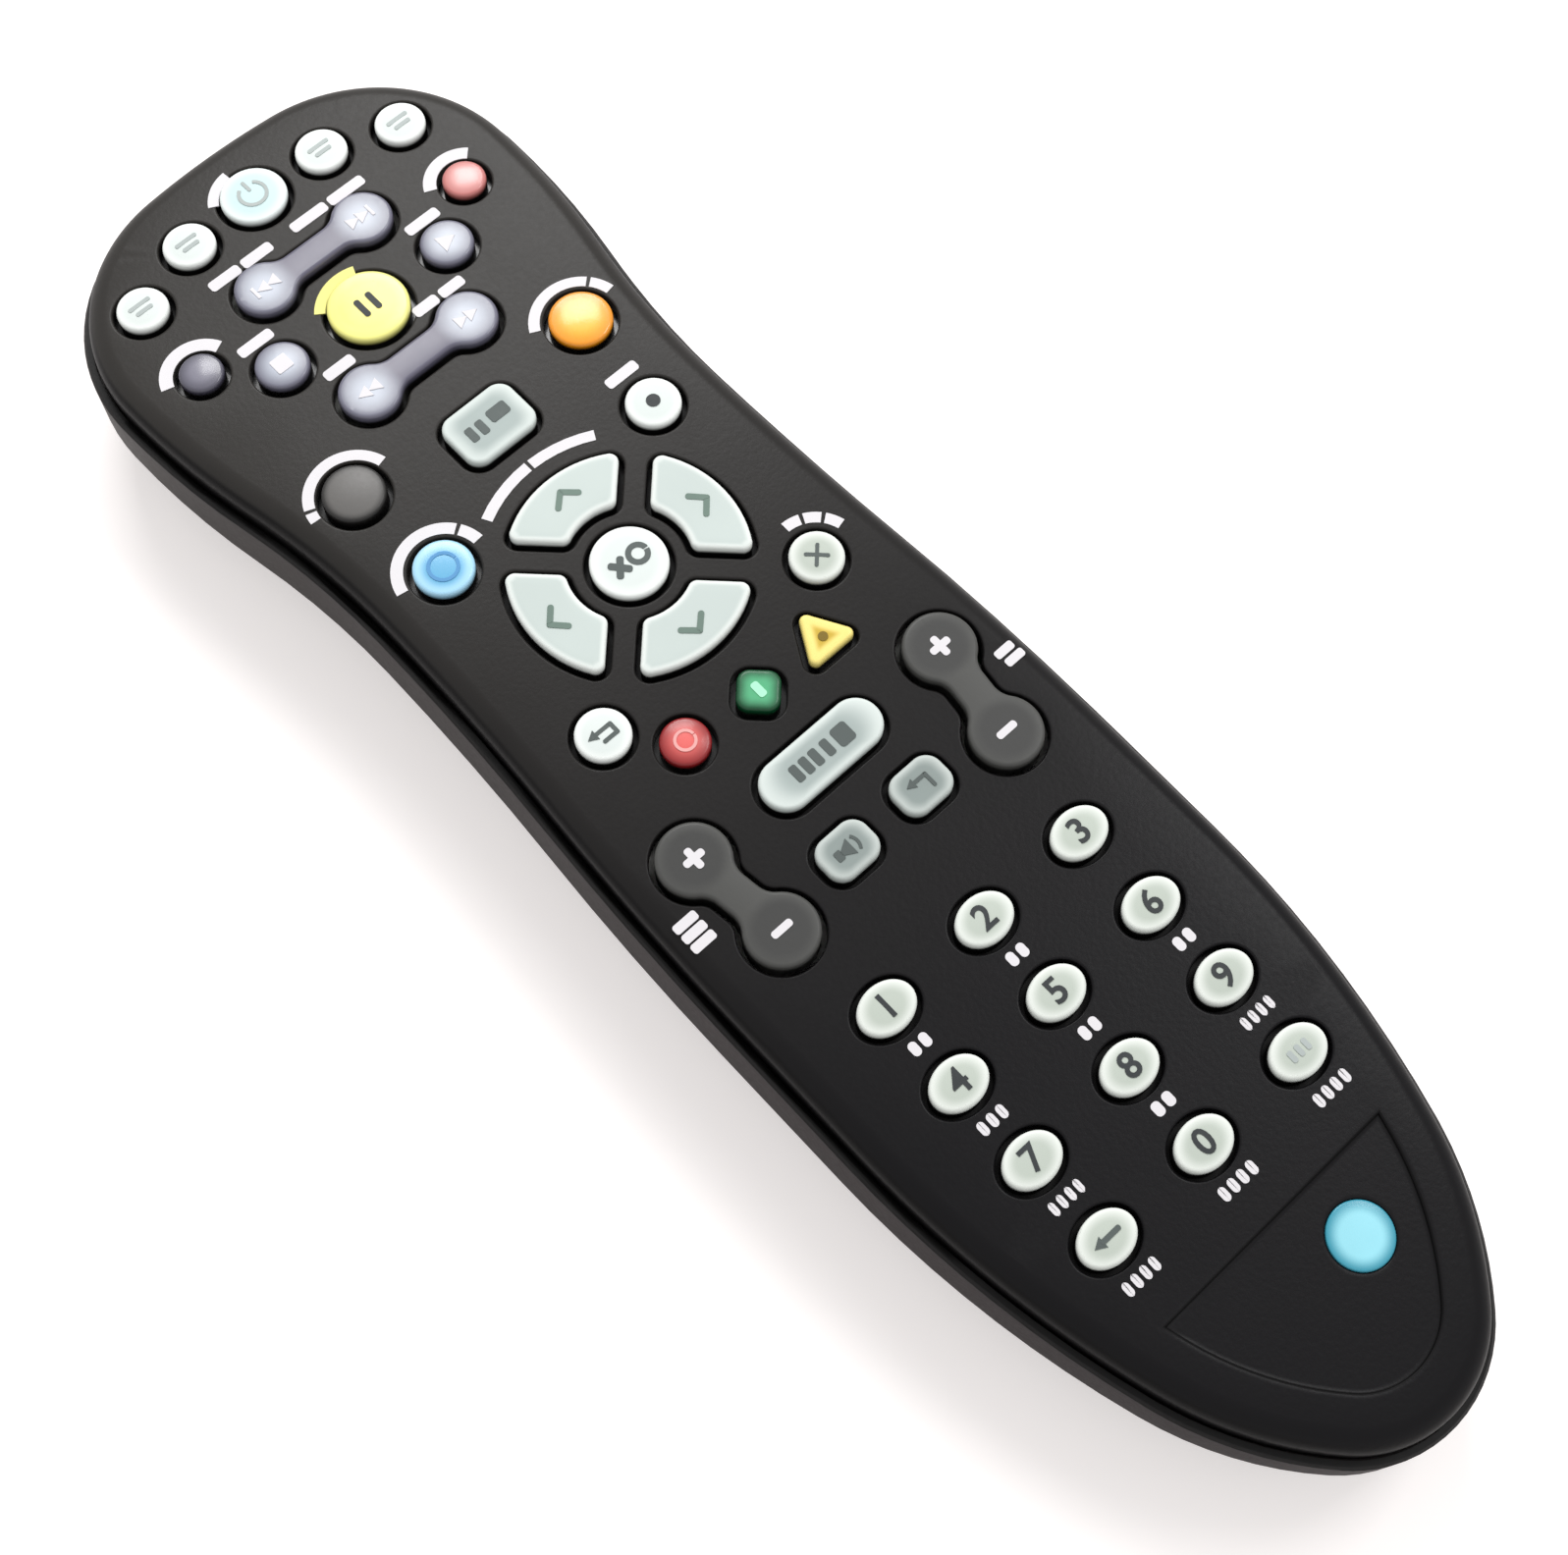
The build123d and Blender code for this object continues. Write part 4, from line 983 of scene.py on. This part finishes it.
labels = []
for name, radius, width, start, end, count in CURVED_WORDS:
    labels += curved_words(radius, width, start, end, PLACES[name], count)
for x1, x2, y, width, count in STRAIGHT_WORDS:
    labels += straight_words(x1, x2, y, width, count)
for name, (width, count) in LETTERS.items():
    x, y = PLACES[name] - np.array([0.0, LETTER_DROP])
    labels += straight_words(x - width / 2, x + width / 2, y, LETTER_HEIGHT, count)
pause_label = curved_words(6.5, 1.5, 146, 66, PLACES["pause_key"], 1)
for name, loops, finish in (("case_print", labels, "ink_white"),
                            ("pause_label", pause_label, "ink_lemon")):
    print_piece(name, loops, lambda p: crown(p[:, 1]), finish, "case")


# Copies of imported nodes. A step between faces of less than the flat angle is no edge.
JOIN_DISTANCE = 1e-6
FLAT_ANGLE = 0.5
BEVEL_ANGLE = 50.0


def smoothed(node, finish, body, angle=40.0, bevel=0.0, spread=None):
    """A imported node's own shape, with its loose triangles joined so that curves shade evenly.

    Edges that turn by more than the angle stay sharp. The bevel is in millimetres.
    """
    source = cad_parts[node]
    mesh = source.data.copy()
    work = bmesh.new()
    work.from_mesh(mesh)
    bmesh.ops.remove_doubles(work, verts=work.verts, dist=JOIN_DISTANCE)
    bmesh.ops.dissolve_limit(work, angle_limit=math.radians(FLAT_ANGLE), verts=work.verts,
                             edges=work.edges)
    work.to_mesh(mesh)
    work.free()
    mesh.materials.clear()
    mesh.materials.append(FINISHES[finish])
    if spread:
        keep_shares(mesh, spread)
    piece = bpy.data.objects.new(f"{node}_shape", mesh)
    bpy.context.scene.collection.objects.link(piece)
    mesh.shade_smooth()
    mesh.set_sharp_from_angle(angle=math.radians(angle))
    if bevel:
        rounder = piece.modifiers.new("soft_edges", "BEVEL")
        rounder.width = bevel * MM
        rounder.segments = 2
        rounder.limit_method = "ANGLE"
        rounder.angle_limit = math.radians(BEVEL_ANGLE)
        rounder.harden_normals = True
    weigh = piece.modifiers.new("even_shading", "WEIGHTED_NORMAL")
    weigh.keep_sharp = True
    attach(piece, body)
    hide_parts(node)


# Both take the tub's finish, with painted shade towards the tail and, on the case's tub, at its
# top by the seam.
for node, body, bevel in (("lower_housing", "case", 0.0),
                          ("battery_cover", "battery_cover", 0.25)):
    smoothed(node, "tub", body, 35.0, bevel,
             lambda points: above_case(points) + TUB_SHADE)
smoothed("infrared_window", "window", "case")
for cell in ("battery_1", "battery_2"):
    smoothed(cell, "sleeve", "case", 35.0, 0.4)

# Nodes that stay as they are packed, with a finish of their own
CARRIED_OVER = {
    "contact_plus": "sheet", "contact_minus": "sheet", "contact_bridge": "sheet",
    "circuit_board": "board", "main_chip": "chip", "crystal_can": "can",
    "infrared_lamp": "resin", "keypad_mat": "silicone", "housing_screws": "zinc",
}
for node, finish in CARRIED_OVER.items():
    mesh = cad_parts[node].data
    for number in range(len(mesh.materials)):
        mesh.materials[number] = FINISHES[finish]


# Floor, light and camera, in metres
FLOOR_REACH = 3.0
FLOOR_BASE = (0.78, 0.75, 0.74, 1.0)
FLOOR_GLOW = (1.0, 0.96, 0.95, 1.0)
FLOOR_LIFT = 0.46
ROOM_LEVEL = 0.64
SEEN_LEVEL = 1.0
PHOTO_WIDTH = 1597
FOCAL_LENGTH = 2432.7146
SENSOR_WIDTH = 36.0


def floor_finish():
    """Pale matt floor that takes the object's shadow, with a glow that only the camera sees."""
    finish, nodes, links, shader, place = new_finish("floor_pale")
    shader.inputs["Roughness"].default_value = 0.9
    shader.inputs["Specular IOR Level"].default_value = 0.1
    shader.inputs["Base Color"].default_value = FLOOR_BASE
    shader.inputs["Emission Color"].default_value = FLOOR_GLOW
    paths = nodes.new("ShaderNodeLightPath")
    lift = nodes.new("ShaderNodeMath")
    lift.operation = "MULTIPLY"
    lift.inputs[1].default_value = FLOOR_LIFT
    links.new(paths.outputs["Is Camera Ray"], lift.inputs[0])
    links.new(lift.outputs["Value"], shader.inputs["Emission Strength"])
    return finish


mesh = bpy.data.meshes.new("floor")
corners = [(x * FLOOR_REACH, y * FLOOR_REACH, 0) for x, y in ((-1, -1), (1, -1), (1, 1), (-1, 1))]
mesh.from_pydata(corners, [], [(0, 1, 2, 3)])
mesh.materials.append(floor_finish())
floor = bpy.data.objects.new("floor", mesh)
bpy.context.scene.collection.objects.link(floor)

# The room is white to the camera and in reflections, and dimmer as a light on matt surfaces.
world = bpy.data.worlds.new("studio")
world.use_nodes = True
bpy.context.scene.world = world
nodes, links = world.node_tree.nodes, world.node_tree.links
background = nodes["Background"]
background.inputs["Color"].default_value = (1.0, 1.0, 1.0, 1.0)
paths = nodes.new("ShaderNodeLightPath")
seen = paths.outputs["Is Camera Ray"]
for kind in ("Is Glossy Ray", "Is Transmission Ray"):
    either = nodes.new("ShaderNodeMath")
    either.operation = "MAXIMUM"
    links.new(seen, either.inputs[0])
    links.new(paths.outputs[kind], either.inputs[1])
    seen = either.outputs["Value"]
level = nodes.new("ShaderNodeMapRange")
level.inputs["To Min"].default_value = ROOM_LEVEL
level.inputs["To Max"].default_value = SEEN_LEVEL
links.new(seen, level.inputs["Value"])
links.new(level.outputs["Result"], background.inputs["Strength"])


def soft_light(name, place, target, size, power):
    """A square panel of white light of the given size, turned to its target."""
    data = bpy.data.lights.new(name, "AREA")
    data.shape = "RECTANGLE"
    data.size = data.size_y = size
    data.energy = power
    lamp = bpy.data.objects.new(name, data)
    lamp.location = place
    lamp.rotation_euler = (Vector(target) - Vector(place)).to_track_quat("-Z", "Y").to_euler()
    bpy.context.scene.collection.objects.link(lamp)


soft_light("window_light", (0.42, 0.66, 0.78), (0.0, 0.02, 0.0), 0.45, 6.5)
soft_light("side_light", (0.66, -0.06, 1.05), (0.0, 0.0, 0.0), 0.4, 4.0)

# The camera's place and its picture's right, down and forward directions fit the photograph, and
# its focal length is in pixels of the photograph.
view = bpy.data.cameras.new("view")
view.lens = SENSOR_WIDTH * FOCAL_LENGTH / PHOTO_WIDTH
view.sensor_width = SENSOR_WIDTH
view.clip_start = 0.01
camera = bpy.data.objects.new("view", view)
across = Vector((0.7307891, -0.6820861, 0.0265680))
down = Vector((-0.6306863, -0.6895843, -0.3559611))
ahead = Vector((0.2611170, 0.2433764, -0.9341230))
facing = Matrix((across, -down, -ahead)).transposed().to_4x4()
camera.matrix_world = Matrix.Translation((-0.0815095, -0.0784334, 0.2996780)) @ facing
bpy.context.scene.collection.objects.link(camera)
bpy.context.scene.camera = camera
bpy.context.scene.view_settings.view_transform = "Standard"
